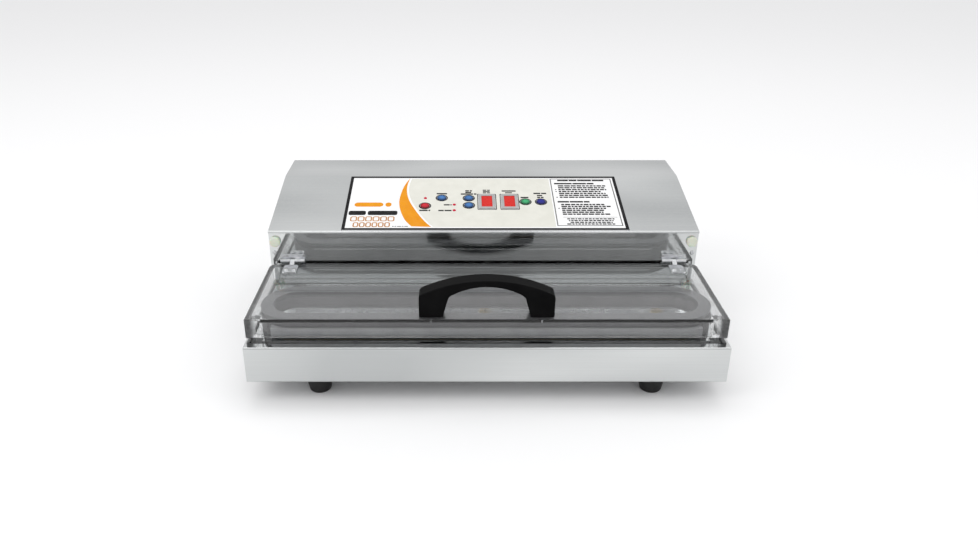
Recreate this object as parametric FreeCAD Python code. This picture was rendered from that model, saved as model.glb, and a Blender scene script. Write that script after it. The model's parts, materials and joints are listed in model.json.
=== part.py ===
import FreeCAD, Part
import math
import os

# Chamberless vacuum sealer: a folded stainless case with a control tower at the back, a clear hinged
# lid at the front, and a heat-seal bar, gasket, pump, transformer and fan.
#
# Millimetres.  +X is to the user's right, +Y to the back, +Z up.  The origin is at the centre of the
# underside: the feet stand on z = 0.  Places along Y are first worked out as a depth behind the front
# panel, called d, and turned into Y by y_of(d).

# ---------------------------------------------------------------- driving dimensions
WIDTH = 485.0                # across the case, the lid and the tower
DEPTH = 335.0                # front panel to the back edges
SHEET = 1.5                  # stainless sheet
FOOT_HEIGHT = 23.0           # clear height under the case
PANEL_HEIGHT = 40.0          # front panel
WALL_DEPTH = 152.0           # front face of the tower wall, behind the front panel
LIP_BOTTOM = 60.0            # underside of the tower's lip, above the deck
LIP_HEIGHT = 2.5             # height of the lip in front of the tower wall
BEND_DEPTH = 270.0           # where the control slope meets the flat top
TOWER_HEIGHT = 88.0          # flat top above the deck
BEND_RADIUS = SHEET + 0.5    # outside radius of the sheet bends
FLANGE = 10.0                # width of the bottom flanges
REAR_RECESS = 2.5            # rear panel's outer face, in front of the back edges
CAP_SKIRT = 12.0             # rear skirt of the top cover

RUN_GAP = 0.3                # gap between pieces that move past each other
FIT_GAP = 0.05               # radial clearance of a pin or a shaft
HOLE_GAP = 0.3               # radial clearance of a fixed piece in a sheet hole

LID_FRONT = 15.0             # lid's front face, behind the front panel
LID_BACK_GAP = 4.5           # lid's rear edge to the tower wall
LID_LIFT = 3.0               # gap under the closed lid
LID_HEIGHT = 21.0
LID_WALL = 5.0               # lid's skirt and top plate
LID_CORNER = 7.5             # rear corners of the lid, from above
LID_EDGE = 1.2               # rounding of the lid's top edges

RING_HALF_LENGTH = 233.6     # oval gasket, half of its outer length
RING_DEPTH = 73.5            # oval gasket, outer depth
RING_BAND = 13.0             # width of the oval band
RING_GAP = 0.4               # lid's skirt to the gasket
CARRIER_HEIGHT = 6.8         # holder of the upper gasket
CARRIER_GROOVE = (1.5, 3.8)  # groove round its outside, above the gasket: depth and height
LOWER_GASKET_HEIGHT = 2.5
GASKET_GAP = 0.4             # lid gasket to deck gasket, lid closed
BAR_HALF_LENGTH = 217.5      # pressure bar in the lid
SEAL_HALF_LENGTH = 205.0     # seal bar on the deck
SEAL_HEIGHT = 2.0
SEAL_INSET = 1.0             # seal bar narrower than the pressure bar, each side
HEATER_WIDTH = 4.0
HEATER_THICK = 0.3
TAPE_THICK = 0.3
TERMINAL_RADIUS = 2.5

TROUGH_DEPTH = 9.6
TROUGH_SHEET = 1.2
TROUGH_MARGIN = 0.9          # gasket's inner edge to the trough
TROUGH_FLANGE = 8.0
PORT_DEPTH = 70.0            # ports, behind the front panel
PORT_X = (0.0, 188.0)
PORT_RADIUS = 4.0
PORT_BORE = 2.2
PORT_NUT_RADIUS = 7.0
PORT_DROP = 12.0             # port's elbow, below the trough

AXIS_GAP = 3.2               # hinge axis in front of the tower wall
AXIS_LIFT = 3.5              # hinge axis above the lid's top
HINGE_X = 217.0
HINGE_SPAN = 27.5
KNUCKLE_WIDTH = 5.0
KNUCKLE_RADIUS = 2.3
SLEEVE_RADIUS = 2.5
PIN_RADIUS = 1.25
BRACKET_THICK = 1.0
BRACKET_HEIGHT = 13.0
STRAP_THICK = 1.6
STRAP_WIDTH = 16.0
STRAP_REACH = 25.0           # strap's front edge, in front of the lid's rear edge
STRAP_PLATE = 19.0

BUMPER_RADIUS = 6.0
BUMPER_PROUD = 3.8
BUMPER_SIDE = 7.0            # bumper's centre to the case's side
BUMPER_LIFT = 50.3           # bumper's centre above the deck
CASE_SCREW = (3.0, 1.8, 1.5, 6.0)    # head radius, head height, shank radius, length
WALL_SCREW = (2.5, 1.3, 1.4, 6.0)
INLET_SCREW = (2.4, 0.9, 1.5, 6.0)
SCREW_HOLE = 1.8             # radius of the case's screw holes
WALL_SCREW_HOLE = 1.7
WALL_SCREW_SIDE = 5.0
WALL_SCREW_LIFT = 36.0

HANDLE_HALF = 68.0
HANDLE_RISE = 39.6
HANDLE_SHOULDER = 23.4       # height of the sharp outer corner, before rounding
HANDLE_CORNER = 5.0
HANDLE_NECK = 8.0
HANDLE_GRIP = 6.6
HANDLE_WIDTH = 19.0
HANDLE_SETBACK = 5.3         # handle's front face behind the lid's
HANDLE_LEG = 24.0
HANDLE_LEG_TOP = 30.0
HANDLE_INNER_RISE = 22.0
HANDLE_EDGE = 1.6
HANDLE_SCREW_RADIUS = 2.0
HANDLE_SCREW_SPACING = 112.0

LABEL_WIDTH = 325.0
LABEL_HEIGHT = 116.5
LABEL_THICK = 0.4
LABEL_LIFT = 3.0             # label's lower edge above the lip, along the slope
LABEL_SHIFT = 2.0            # label's centre, to the right of the case's
BUTTON_RADIUS = 5.5
BUTTON_RISE = 1.2
BUTTON_TRAVEL = 0.5
BUTTON_COLLAR = 1.2          # collar wider than the cap
BUTTON_COLLAR_THICK = 1.0
STEM_RADIUS = 1.75
BOARD_DROP = 10.0            # component side of the control board below the slope's face
BOARD_THICK = 1.6
SWITCH_HEIGHT = 4.3
SWITCH_SIDE = 6.0
STEM_ENTRY = 0.6
LED_RADIUS = 2.0
LED_RISE = 1.2               # indicator's top above the slope's face
LED_DOME = 0.9               # rounding of its top
LED_RIM = 0.5                # rim on the board, wider than the lens
LED_RIM_THICK = 1.0
LED_GAP = 0.1                # radial clearance of an indicator in the cover
BEZEL_SIZE = (19.5, 31.7)
WINDOW_SIZE = (12.8, 23.8)
BEZEL_RISE = 1.0             # bezel above the label

FOOT_TOP_RADIUS = 14.0
FOOT_BASE_RADIUS = 11.0
FOOT_X = 173.0
FOOT_FRONT = 26.0            # front feet, behind the front panel
FOOT_REAR = 30.0             # rear feet, in front of the back edges
FOOT_SCREW_RADIUS = 2.0
FOOT_WELL = 0.5              # depth of the screw's well, as a share of the foot

FAN_SIZE = 80.0
FAN_THICK = 25.0
FAN_BORE = 38.0
FAN_X = 150.0
FAN_LIFT = 62.5              # fan's axis above the case's underside
FAN_HOLE_SPACING = 71.5
FAN_HUB = 17.0
FAN_BLADES = 7
GUARD_WIRE = 1.8

INLET_X = -170.0
INLET_LIFT = 29.0
INLET_FLANGE = (50.0, 23.0)
INLET_BODY = (27.0, 19.6)
INLET_CAVITY = (24.0, 16.6)
INLET_DEPTH = 20.0
INLET_SCREW_SPACING = 40.0
PIN_LENGTH = 14.0

PUMP_X = 5.0
PUMP_DEPTH = 250.0
PUMP_AXIS = 38.0             # pump shaft above the case's underside
PUMP_CAN_RADIUS = 30.0
PUMP_CAN_LENGTH = 80.0
SHAFT_RADIUS = 4.0
CRANKCASE = (34.0, 56.0, 52.0)
CRANK_WALL = 4.0
CRANK_RADIUS = 10.0
CRANK_THROW = 5.0
PISTON_RADIUS = 13.0
PISTON_HEIGHT = 9.0
CYLINDER_HEIGHT = 20.0
CYLINDER_WALL = 4.0
HEAD_SIZE = 42.0
HEAD_HEIGHT = 9.0
FIN_COUNT = 4

CORE = (84.0, 45.0, 70.0)
CORE_LIMB = 28.0
CORE_X = -150.0
CORE_DEPTH = 235.0
COIL_PROUD = 11.0

HOSE_RADIUS = 5.0
VENT_WIDTH = 3.0
VENT_LENGTH = 40.0
VENT_PITCH = 8.0
VENT_COUNT = 12

# ---------------------------------------------------------------- places worked out from them
HALF = WIDTH / 2.0
CASE_BOTTOM = FOOT_HEIGHT
DECK = CASE_BOTTOM + PANEL_HEIGHT
TOP = DECK + TOWER_HEIGHT
LIP_FRONT = WALL_DEPTH - SHEET
LIP_TOP = DECK + LIP_BOTTOM + LIP_HEIGHT
SLOPE = math.atan2(TOP - LIP_TOP, BEND_DEPTH - LIP_FRONT)
SHEET_INSIDE = HALF - SHEET
REAR_FACE = DEPTH - REAR_RECESS
PLATE_BOTTOM = CASE_BOTTOM + SHEET

LID_BACK = WALL_DEPTH - LID_BACK_GAP
LID_BOTTOM = DECK + LID_LIFT
LID_TOP = LID_BOTTOM + LID_HEIGHT
LID_CEILING = LID_TOP - LID_WALL
AXIS_DEPTH = WALL_DEPTH - AXIS_GAP
AXIS_Z = LID_TOP + AXIS_LIFT

RING_FRONT = LID_FRONT + LID_WALL + RING_GAP
RING_MIDDLE = RING_FRONT + RING_DEPTH / 2.0
CARRIER_BOTTOM = LID_CEILING - CARRIER_HEIGHT
UPPER_GASKET_BOTTOM = DECK + LOWER_GASKET_HEIGHT + GASKET_GAP
BAR_BACK = RING_FRONT + RING_BAND
BAR_BOTTOM = DECK + SEAL_HEIGHT + TAPE_THICK + GASKET_GAP
SEAL_MIDDLE = (RING_FRONT + BAR_BACK) / 2.0
TROUGH_HALF = RING_HALF_LENGTH - RING_BAND - TROUGH_MARGIN
TROUGH_WIDTH = RING_DEPTH - 2.0 * (RING_BAND + TROUGH_MARGIN)
TROUGH_FLOOR = DECK - TROUGH_DEPTH


def y_of(d):
    """Y of a place d behind the front panel."""
    return d - DEPTH / 2.0


# ---------------------------------------------------------------- shape helpers
def box(x0, x1, d0, d1, z0, z1):
    """Block between two corners, its depth given as d."""
    return Part.makeBox(x1 - x0, d1 - d0, z1 - z0, FreeCAD.Vector(x0, y_of(d0), z0))


def cylinder_z(x, d, z0, z1, radius):
    return Part.makeCylinder(radius, z1 - z0, FreeCAD.Vector(x, y_of(d), z0))


def cylinder_x(x0, x1, d, z, radius):
    start = FreeCAD.Vector(x0, y_of(d), z)
    return Part.makeCylinder(radius, x1 - x0, start, FreeCAD.Vector(1, 0, 0))


def cylinder_y(x, d0, d1, z, radius):
    start = FreeCAD.Vector(x, y_of(d0), z)
    return Part.makeCylinder(radius, d1 - d0, start, FreeCAD.Vector(0, 1, 0))


def fuse(shapes):
    """One solid from several that touch or overlap."""
    shapes = list(shapes)
    if len(shapes) == 1:
        return shapes[0]
    return shapes[0].multiFuse(shapes[1:]).removeSplitter()


def cut(shape, tools):
    tools = list(tools)
    return shape.cut(Part.makeCompound(tools)) if tools else shape


def group(shapes):
    """Separate solids kept in one node."""
    return Part.makeCompound(list(shapes))


def outline(points, radii):
    """Closed flat outline in the XY plane, with its corners rounded by radii (0 leaves one sharp)."""
    corners = [FreeCAD.Vector(a, b, 0) for a, b in points]
    starts, ends, arcs = [], [], []
    for i, corner in enumerate(corners):
        if not radii[i]:
            starts.append(corner)
            ends.append(corner)
            arcs.append(None)
            continue
        back = (corners[i - 1] - corner).normalize()
        ahead = (corners[(i + 1) % len(corners)] - corner).normalize()
        half = math.acos(max(-1.0, min(1.0, back.dot(ahead)))) / 2.0
        reach = radii[i] / math.tan(half)
        middle = (back + ahead).normalize()
        centre = corner + middle * (radii[i] / math.sin(half))
        starts.append(corner + back * reach)
        ends.append(corner + ahead * reach)
        arcs.append(centre - middle * radii[i])
    edges = []
    for i in range(len(corners)):
        if arcs[i] is not None:
            edges.append(Part.Arc(starts[i], arcs[i], ends[i]).toShape())
        follower = (i + 1) % len(corners)
        if ends[i].distanceToPoint(starts[follower]) > 1e-6:
            edges.append(Part.LineSegment(ends[i], starts[follower]).toShape())
    return Part.Wire(edges)


def prism_z(points, z0, z1, radii=None):
    """Outline of (x, y) points, raised from z0 to z1."""
    wire = outline(points, radii or [0] * len(points))
    wire.translate(FreeCAD.Vector(0, 0, z0))
    return Part.Face(wire).extrude(FreeCAD.Vector(0, 0, z1 - z0))


def prism_x(points, x0, x1, radii=None):
    """Side outline of (d, z) points, drawn out from x0 to x1."""
    face = Part.Face(outline(points, radii or [0] * len(points)))
    solid = face.extrude(FreeCAD.Vector(0, 0, x1 - x0))
    turn = FreeCAD.Rotation(FreeCAD.Vector(1, 1, 1), 120)
    solid.Placement = FreeCAD.Placement(FreeCAD.Vector(x0, y_of(0), 0), turn)
    return solid


def prism_d(points, d0, d1, radii=None):
    """Front outline of (x, z) points, drawn out from d0 to d1."""
    face = Part.Face(outline(points, radii or [0] * len(points)))
    solid = face.extrude(FreeCAD.Vector(0, 0, d0 - d1))
    solid.rotate(FreeCAD.Vector(0, 0, 0), FreeCAD.Vector(1, 0, 0), 90)
    solid.translate(FreeCAD.Vector(0, y_of(d0), 0))
    return solid


def folded_sheet(path, radii, x0, x1):
    """Bent sheet: path runs along its visible side, with the sheet on the path's right hand."""
    inner = []
    for i, (a, b) in enumerate(path):
        normals = []
        for j in (i - 1, i):
            if 0 <= j < len(path) - 1:
                run, rise = path[j + 1][0] - path[j][0], path[j + 1][1] - path[j][1]
                length = math.hypot(run, rise)
                normals.append((rise / length, -run / length))
        n0, n1 = normals[0], normals[-1]
        scale = SHEET / (1.0 + n0[0] * n1[0] + n0[1] * n1[1])
        inner.append((a + (n0[0] + n1[0]) * scale, b + (n0[1] + n1[1]) * scale))
    inner_radii = []
    for i, radius in enumerate(radii):
        if not radius:
            inner_radii.append(0)
            continue
        (ax, az), (bx, bz), (cx, cz) = path[i - 1], path[i], path[i + 1]
        right_turn = (bx - ax) * (cz - bz) - (bz - az) * (cx - bx) < 0
        inner_radii.append(radius - SHEET if right_turn else radius + SHEET)
    points = list(path) + inner[::-1]
    return prism_x(points, x0, x1, list(radii) + inner_radii[::-1])


def oval(half_length, width, z0, z1, middle=None):
    """Oval block with round ends, centred on the gasket's middle."""
    radius = width / 2.0
    d = RING_MIDDLE if middle is None else middle
    straight = half_length - radius
    return fuse([
        box(-straight, straight, d - radius, d + radius, z0, z1),
        cylinder_z(-straight, d, z0, z1, radius),
        cylinder_z(straight, d, z0, z1, radius),
    ])


def oval_ring(half_length, width, band, z0, z1):
    return oval(half_length, width, z0, z1).cut(
        oval(half_length - band, width - 2.0 * band, z0 - 1.0, z1 + 1.0))


def on_slope(shape):
    """Place a shape drawn in the label's frame: x along the label from its left edge, y up the slope
    from its lower edge, z out of the slope's face."""
    placed = shape.copy()
    placed.translate(FreeCAD.Vector(LABEL_SHIFT - LABEL_WIDTH / 2.0, LABEL_LIFT, 0))
    placed.rotate(FreeCAD.Vector(0, 0, 0), FreeCAD.Vector(1, 0, 0), math.degrees(SLOPE))
    placed.translate(FreeCAD.Vector(0, y_of(LIP_FRONT), LIP_TOP))
    return placed


def slope_cylinder(u, v, w0, w1, radius):
    return on_slope(Part.makeCylinder(radius, w1 - w0, FreeCAD.Vector(u, v, w0)))


def slope_block(u, v, size, w0, w1):
    corner = FreeCAD.Vector(u - size[0] / 2.0, v - size[1] / 2.0, w0)
    return on_slope(Part.makeBox(size[0], size[1], w1 - w0, corner))


def screw(x, d, z, direction, head_radius, head_height, shank_radius, length):
    """Button-head screw.  z, x, d is the seat; direction is the way the shank goes."""
    head = Part.makeCylinder(head_radius, head_height)
    top_edges = [e for e in head.Edges if e.BoundBox.ZMin > head_height - 0.01]
    head = head.makeFillet(head_height * 0.6, top_edges)
    slot = Part.makeBox(head_radius * 1.2, head_radius * 0.3, head_height,
                        FreeCAD.Vector(-head_radius * 0.6, -head_radius * 0.15, head_height * 0.6))
    cross = slot.copy()
    cross.rotate(FreeCAD.Vector(0, 0, 0), FreeCAD.Vector(0, 0, 1), 90)
    shank = Part.makeCylinder(shank_radius, length, FreeCAD.Vector(0, 0, -length))
    body = head.fuse(shank).cut(Part.makeCompound([slot, cross]))
    turn = FreeCAD.Rotation(FreeCAD.Vector(0, 0, -1), FreeCAD.Vector(*direction))
    body.Placement = FreeCAD.Placement(FreeCAD.Vector(x, y_of(d), z), turn)
    return body


# ---------------------------------------------------------------- label layout, from its lower left corner
BUTTONS = {
    "power": (93.0, 49.7),
    "mode": (112.4, 67.0),
    "time_up": (144.5, 66.5),
    "time_down": (144.5, 50.8),
    "start": (211.4, 58.5),
    "manual_seal": (229.8, 58.5),
}
LEDS = {"power": (93.0, 66.5), "auto": (127.4, 52.3), "manual": (127.4, 40.1)}
DISPLAYS = {"left": (165.9, 58.8), "right": (192.7, 58.8)}
BOARD_U = (84.0, 240.0)
BOARD_V = (31.0, 86.0)
BOARD_INSET = 4.5

# ---------------------------------------------------------------- case
REAR_SCREWS = [(x, z) for x in (-HALF + SHEET + FLANGE / 2.0, HALF - SHEET - FLANGE / 2.0)
               for z in (CASE_BOTTOM + 0.3 * PANEL_HEIGHT, DECK + 0.5 * TOWER_HEIGHT, TOP - 22.0)]
FOOT_DEPTHS = {"front": FOOT_FRONT, "rear": DEPTH - FOOT_REAR}
FLANGE_SCREW_DEPTHS = (60.0, DEPTH / 2.0, DEPTH - 75.0)


def cover_underside(d):
    """Height of the top cover's inner face above depth d, on the slope."""
    return LIP_TOP + (d - LIP_FRONT) * math.tan(SLOPE) - SHEET / math.cos(SLOPE)


def make_deck_shell():
    """Front panel, deck and tower wall, folded from one sheet."""
    wall_top = cover_underside(WALL_DEPTH) - 0.6
    path = [(FLANGE, CASE_BOTTOM), (0, CASE_BOTTOM), (0, DECK), (WALL_DEPTH, DECK), (WALL_DEPTH, wall_top)]
    shell = folded_sheet(path, [0, BEND_RADIUS, BEND_RADIUS, 1.0, 0], -HALF, HALF)
    tools = [oval(TROUGH_HALF, TROUGH_WIDTH, DECK - 2 * SHEET, DECK + 1.0)]
    for side in (-1, 1):
        inner = side * (SHEET_INSIDE - FLANGE - HOLE_GAP)
        outer = side * (HALF + 1.0)
        tools.append(box(min(inner, outer), max(inner, outer), SHEET, FLANGE + 1.0,
                         CASE_BOTTOM - 1.0, PLATE_BOTTOM + 0.5))
        bumper_x = side * (HALF - BUMPER_SIDE)
        tools.append(cylinder_y(bumper_x, WALL_DEPTH - 1, WALL_DEPTH + 2 * SHEET, DECK + BUMPER_LIFT,
                                BUMPER_RADIUS / 2 + HOLE_GAP))
        screw_x = side * (HALF - WALL_SCREW_SIDE)
        tools.append(cylinder_y(screw_x, WALL_DEPTH - 1, WALL_DEPTH + 2 * SHEET, DECK + WALL_SCREW_LIFT,
                                WALL_SCREW_HOLE))
        terminal_x = side * (SEAL_HALF_LENGTH - 2 * TERMINAL_RADIUS)
        tools.append(cylinder_z(terminal_x, SEAL_MIDDLE, DECK - 2 * SHEET, DECK + 1,
                                TERMINAL_RADIUS + HOLE_GAP))
    return cut(shell, tools)


def make_side_panel(side):
    """Side of the case with its bottom and rear flanges; side is -1 for the left."""
    lift = 0.1
    deck_under = DECK - SHEET - lift
    profile = [
        (SHEET + lift, CASE_BOTTOM), (SHEET + lift, deck_under), (WALL_DEPTH + SHEET + lift, deck_under),
        (WALL_DEPTH + SHEET + lift, cover_underside(WALL_DEPTH + SHEET) - lift),
        (BEND_DEPTH, TOP - SHEET - lift), (DEPTH, TOP - SHEET - lift), (DEPTH, CASE_BOTTOM),
    ]
    inner, outer = sorted((side * SHEET_INSIDE, side * HALF))
    panel = prism_x(profile, inner, outer)
    skirt = box(inner - 1, outer + 1, DEPTH - SHEET - lift, DEPTH + 1, TOP - CAP_SKIRT - lift, TOP)
    panel = panel.cut(skirt)
    a, b = sorted((side * SHEET_INSIDE, side * (SHEET_INSIDE - FLANGE)))
    bottom_flange = box(a, b, SHEET + lift, REAR_FACE - 2 * SHEET - lift, CASE_BOTTOM, PLATE_BOTTOM)
    rear_flange = box(a, b, REAR_FACE - 2 * SHEET, REAR_FACE - SHEET, PLATE_BOTTOM + SHEET + lift,
                      TOP - SHEET - lift)
    holes = [cylinder_y(x, REAR_FACE - 3 * SHEET, REAR_FACE, z, SCREW_HOLE) for x, z in REAR_SCREWS]
    for d in FLANGE_SCREW_DEPTHS:
        holes.append(cylinder_z(side * (SHEET_INSIDE - FLANGE / 2), d, CASE_BOTTOM - 1, PLATE_BOTTOM + 1,
                                SCREW_HOLE))
    return cut(fuse([panel, bottom_flange, rear_flange]), holes)


def make_top_cover():
    """Lip, control slope and flat top, folded from one sheet."""
    path = [(LIP_FRONT, LIP_TOP - LIP_HEIGHT), (LIP_FRONT, LIP_TOP), (BEND_DEPTH, TOP), (DEPTH, TOP),
            (DEPTH, TOP - CAP_SKIRT)]
    cover = folded_sheet(path, [0, BEND_RADIUS, 3 * BEND_RADIUS, BEND_RADIUS, 0], -HALF, HALF)
    deep = -4 * SHEET
    tools = [slope_cylinder(u, v, deep, 2.0, BUTTON_RADIUS + RUN_GAP) for u, v in BUTTONS.values()]
    tools += [slope_cylinder(u, v, deep, 2.0, LED_RADIUS + LED_GAP) for u, v in LEDS.values()]
    opening = (WINDOW_SIZE[0] + 2 * HOLE_GAP, WINDOW_SIZE[1] + 2 * HOLE_GAP)
    tools += [slope_block(u, v, opening, deep, 2.0) for u, v in DISPLAYS.values()]
    return cut(cover, tools)


def fan_place():
    return FAN_X, CASE_BOTTOM + FAN_LIFT


def fan_holes():
    x, z = fan_place()
    half = FAN_HOLE_SPACING / 2.0
    return [(x + a * half, z + b * half) for a in (-1, 1) for b in (-1, 1)]


def inlet_place():
    return INLET_X, CASE_BOTTOM + INLET_LIFT


def make_rear_panel():
    panel = box(-SHEET_INSIDE + 0.1, SHEET_INSIDE - 0.1, REAR_FACE - SHEET, REAR_FACE, PLATE_BOTTOM,
                TOP - SHEET - 0.1)
    x, z = fan_place()
    through = (REAR_FACE - 2 * SHEET, REAR_FACE + 1)
    tools = [cylinder_y(x, *through, z, FAN_BORE)]
    tools += [cylinder_y(a, *through, b, 2.2) for a, b in fan_holes()]
    tools += [cylinder_y(a, *through, b, SCREW_HOLE) for a, b in REAR_SCREWS]
    x, z = inlet_place()
    w, h = INLET_BODY[0] / 2 + HOLE_GAP, INLET_BODY[1] / 2 + HOLE_GAP
    tools.append(box(x - w, x + w, *through, z - h, z + h))
    tools += [cylinder_y(x + s * INLET_SCREW_SPACING / 2, *through, z, SCREW_HOLE) for s in (-1, 1)]
    for i in range(VENT_COUNT):
        a = INLET_X + 40.0 + i * VENT_PITCH
        z0 = DECK + 0.35 * TOWER_HEIGHT
        tools.append(prism_d([(a, z0), (a + VENT_WIDTH, z0), (a + VENT_WIDTH, z0 + VENT_LENGTH),
                              (a, z0 + VENT_LENGTH)], *through, [VENT_WIDTH * 0.49] * 4))
    return cut(panel, tools)


def make_bottom_plate():
    """Floor of the case: it lies on the bottom flanges."""
    plate = box(-SHEET_INSIDE + 0.1, SHEET_INSIDE - 0.1, SHEET + 0.6, REAR_FACE - SHEET - 0.1,
                PLATE_BOTTOM, PLATE_BOTTOM + SHEET)
    through = (PLATE_BOTTOM - 1, PLATE_BOTTOM + 2 * SHEET)
    tools = [cylinder_z(sx * FOOT_X, d, *through, FOOT_SCREW_RADIUS + HOLE_GAP)
             for sx in (-1, 1) for d in FOOT_DEPTHS.values()]
    tools += [cylinder_z(sx * (SHEET_INSIDE - FLANGE / 2), d, *through, SCREW_HOLE)
              for sx in (-1, 1) for d in FLANGE_SCREW_DEPTHS]
    for i in range(VENT_COUNT):
        a = -VENT_COUNT * VENT_PITCH / 2 + i * VENT_PITCH
        for d in (PUMP_DEPTH - 1.4 * VENT_LENGTH, PUMP_DEPTH + 0.1 * VENT_LENGTH):
            points = [(a, y_of(d)), (a + VENT_WIDTH, y_of(d)), (a + VENT_WIDTH, y_of(d + VENT_LENGTH)),
                      (a, y_of(d + VENT_LENGTH))]
            tools.append(prism_z(points, *through, [VENT_WIDTH * 0.49] * 4))
    return cut(plate, tools)


def make_foot(side, d):
    """Tapered rubber foot with a counterbore for its screw."""
    height = PLATE_BOTTOM
    foot = Part.makeCone(FOOT_BASE_RADIUS, FOOT_TOP_RADIUS, height * 0.62,
                         FreeCAD.Vector(side * FOOT_X, y_of(d), 0))
    base = [e for e in foot.Edges if e.BoundBox.ZMax < 0.01]
    foot = foot.makeFillet(2.0, base)
    foot = fuse([foot, cylinder_z(side * FOOT_X, d, height * 0.62, height, FOOT_TOP_RADIUS)])
    bore = cylinder_z(side * FOOT_X, d, -1, height + 1, FOOT_SCREW_RADIUS + HOLE_GAP)
    well = cylinder_z(side * FOOT_X, d, -1, height * FOOT_WELL, 2.4 * FOOT_SCREW_RADIUS)
    return cut(foot, [bore, well])


def make_case_screws():
    """Foot, rear panel, bottom flange, tower wall and inlet screws."""
    seat = PLATE_BOTTOM * FOOT_WELL
    length = PLATE_BOTTOM + SHEET + 4.0 - seat
    foot_screws = [screw(sx * FOOT_X, d, seat, (0, 0, 1), 2 * FOOT_SCREW_RADIUS, 2.4,
                         FOOT_SCREW_RADIUS, length)
                   for sx in (-1, 1) for d in FOOT_DEPTHS.values()]
    screws = [screw(x, REAR_FACE, z, (0, -1, 0), *CASE_SCREW) for x, z in REAR_SCREWS]
    screws += [screw(sx * (SHEET_INSIDE - FLANGE / 2), d, CASE_BOTTOM, (0, 0, 1), *CASE_SCREW)
               for sx in (-1, 1) for d in FLANGE_SCREW_DEPTHS]
    screws += [screw(sx * (HALF - WALL_SCREW_SIDE), WALL_DEPTH, DECK + WALL_SCREW_LIFT, (0, 1, 0),
                     *WALL_SCREW) for sx in (-1, 1)]
    x, z = inlet_place()
    screws += [screw(x + s * INLET_SCREW_SPACING / 2, REAR_FACE + SHEET, z, (0, -1, 0), *INLET_SCREW)
               for s in (-1, 1)]
    return group(foot_screws + screws)


# ---------------------------------------------------------------- sealing side, on the deck
def seal_zone(z0, z1, margin):
    """Space the seal bar takes out of the gasket ring."""
    half = SEAL_HALF_LENGTH + margin
    return box(-half, half, RING_FRONT - 1, BAR_BACK + margin, z0, z1)


def make_vacuum_trough():
    under = DECK - SHEET
    t = TROUGH_SHEET
    bowl = oval(TROUGH_HALF + t, TROUGH_WIDTH + 2 * t, TROUGH_FLOOR - t, under)
    rim = oval(TROUGH_HALF + TROUGH_FLANGE, TROUGH_WIDTH + 2 * TROUGH_FLANGE, under - t, under)
    well = oval(TROUGH_HALF, TROUGH_WIDTH, TROUGH_FLOOR, under + 1)
    low = [e for e in well.Edges if e.BoundBox.ZMax < TROUGH_FLOOR + 0.01]
    well = well.makeFillet(3.0, low)
    shape = cut(fuse([bowl, rim]), [well])
    holes = [cylinder_z(x, PORT_DEPTH, TROUGH_FLOOR - 2 * t, TROUGH_FLOOR + t, PORT_RADIUS + 0.1)
             for x in PORT_X]
    for side in (-1, 1):
        terminal_x = side * (SEAL_HALF_LENGTH - 2 * TERMINAL_RADIUS)
        holes.append(cylinder_z(terminal_x, SEAL_MIDDLE, TROUGH_FLOOR - 2 * t, under + 1,
                                TERMINAL_RADIUS + 2 * HOLE_GAP))
    return cut(shape, holes)


def make_port(x):
    """Elbow fitting through the trough's floor, with a nut below and a barb to the back."""
    t = TROUGH_SHEET
    low = TROUGH_FLOOR - t - PORT_DROP
    flange = cylinder_z(x, PORT_DEPTH, TROUGH_FLOOR, TROUGH_FLOOR + 1.2, 1.6 * PORT_RADIUS)
    stem = cylinder_z(x, PORT_DEPTH, low + PORT_RADIUS, TROUGH_FLOOR + 0.6, PORT_RADIUS)
    side = PORT_RADIUS + 1.0
    elbow = box(x - side, x + side, PORT_DEPTH - side, PORT_DEPTH + side, low + PORT_RADIUS - side,
                low + PORT_RADIUS + side)
    nut_points = [(x + PORT_NUT_RADIUS * math.cos(math.radians(60 * i)),
                   y_of(PORT_DEPTH) + PORT_NUT_RADIUS * math.sin(math.radians(60 * i))) for i in range(6)]
    nut = prism_z(nut_points, TROUGH_FLOOR - t - 4.0, TROUGH_FLOOR - t)
    arm = cylinder_y(x, PORT_DEPTH, PORT_DEPTH + 22, low + PORT_RADIUS, PORT_RADIUS - 0.5)
    arm_bore = 0.85 * PORT_BORE
    bores = [cylinder_z(x, PORT_DEPTH, low + PORT_RADIUS - PORT_BORE, TROUGH_FLOOR + 2, PORT_BORE),
             cylinder_y(x, PORT_DEPTH, PORT_DEPTH + 23, low + PORT_RADIUS, arm_bore)]
    return cut(fuse([flange, stem, nut, elbow, arm]), bores)


def make_lower_gasket():
    ring = oval_ring(RING_HALF_LENGTH, RING_DEPTH, RING_BAND, DECK, DECK + LOWER_GASKET_HEIGHT)
    return ring.cut(seal_zone(DECK - 1, DECK + LOWER_GASKET_HEIGHT + 1, 0.5))


def make_seal_bar():
    half = (BAR_BACK - RING_FRONT) / 2.0 - SEAL_INSET
    bar = box(-SEAL_HALF_LENGTH, SEAL_HALF_LENGTH, SEAL_MIDDLE - half, SEAL_MIDDLE + half, DECK,
              DECK + SEAL_HEIGHT)
    legs = [cylinder_z(s * (SEAL_HALF_LENGTH - 2 * TERMINAL_RADIUS), SEAL_MIDDLE, DECK - 8, DECK + 1,
                       TERMINAL_RADIUS) for s in (-1, 1)]
    groove = box(-SEAL_HALF_LENGTH - 1, SEAL_HALF_LENGTH + 1, SEAL_MIDDLE - HEATER_WIDTH / 2 - 0.1,
                 SEAL_MIDDLE + HEATER_WIDTH / 2 + 0.1,
                 DECK + SEAL_HEIGHT - HEATER_THICK, DECK + 2 * SEAL_HEIGHT)
    return fuse([bar] + legs).cut(groove)


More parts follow.
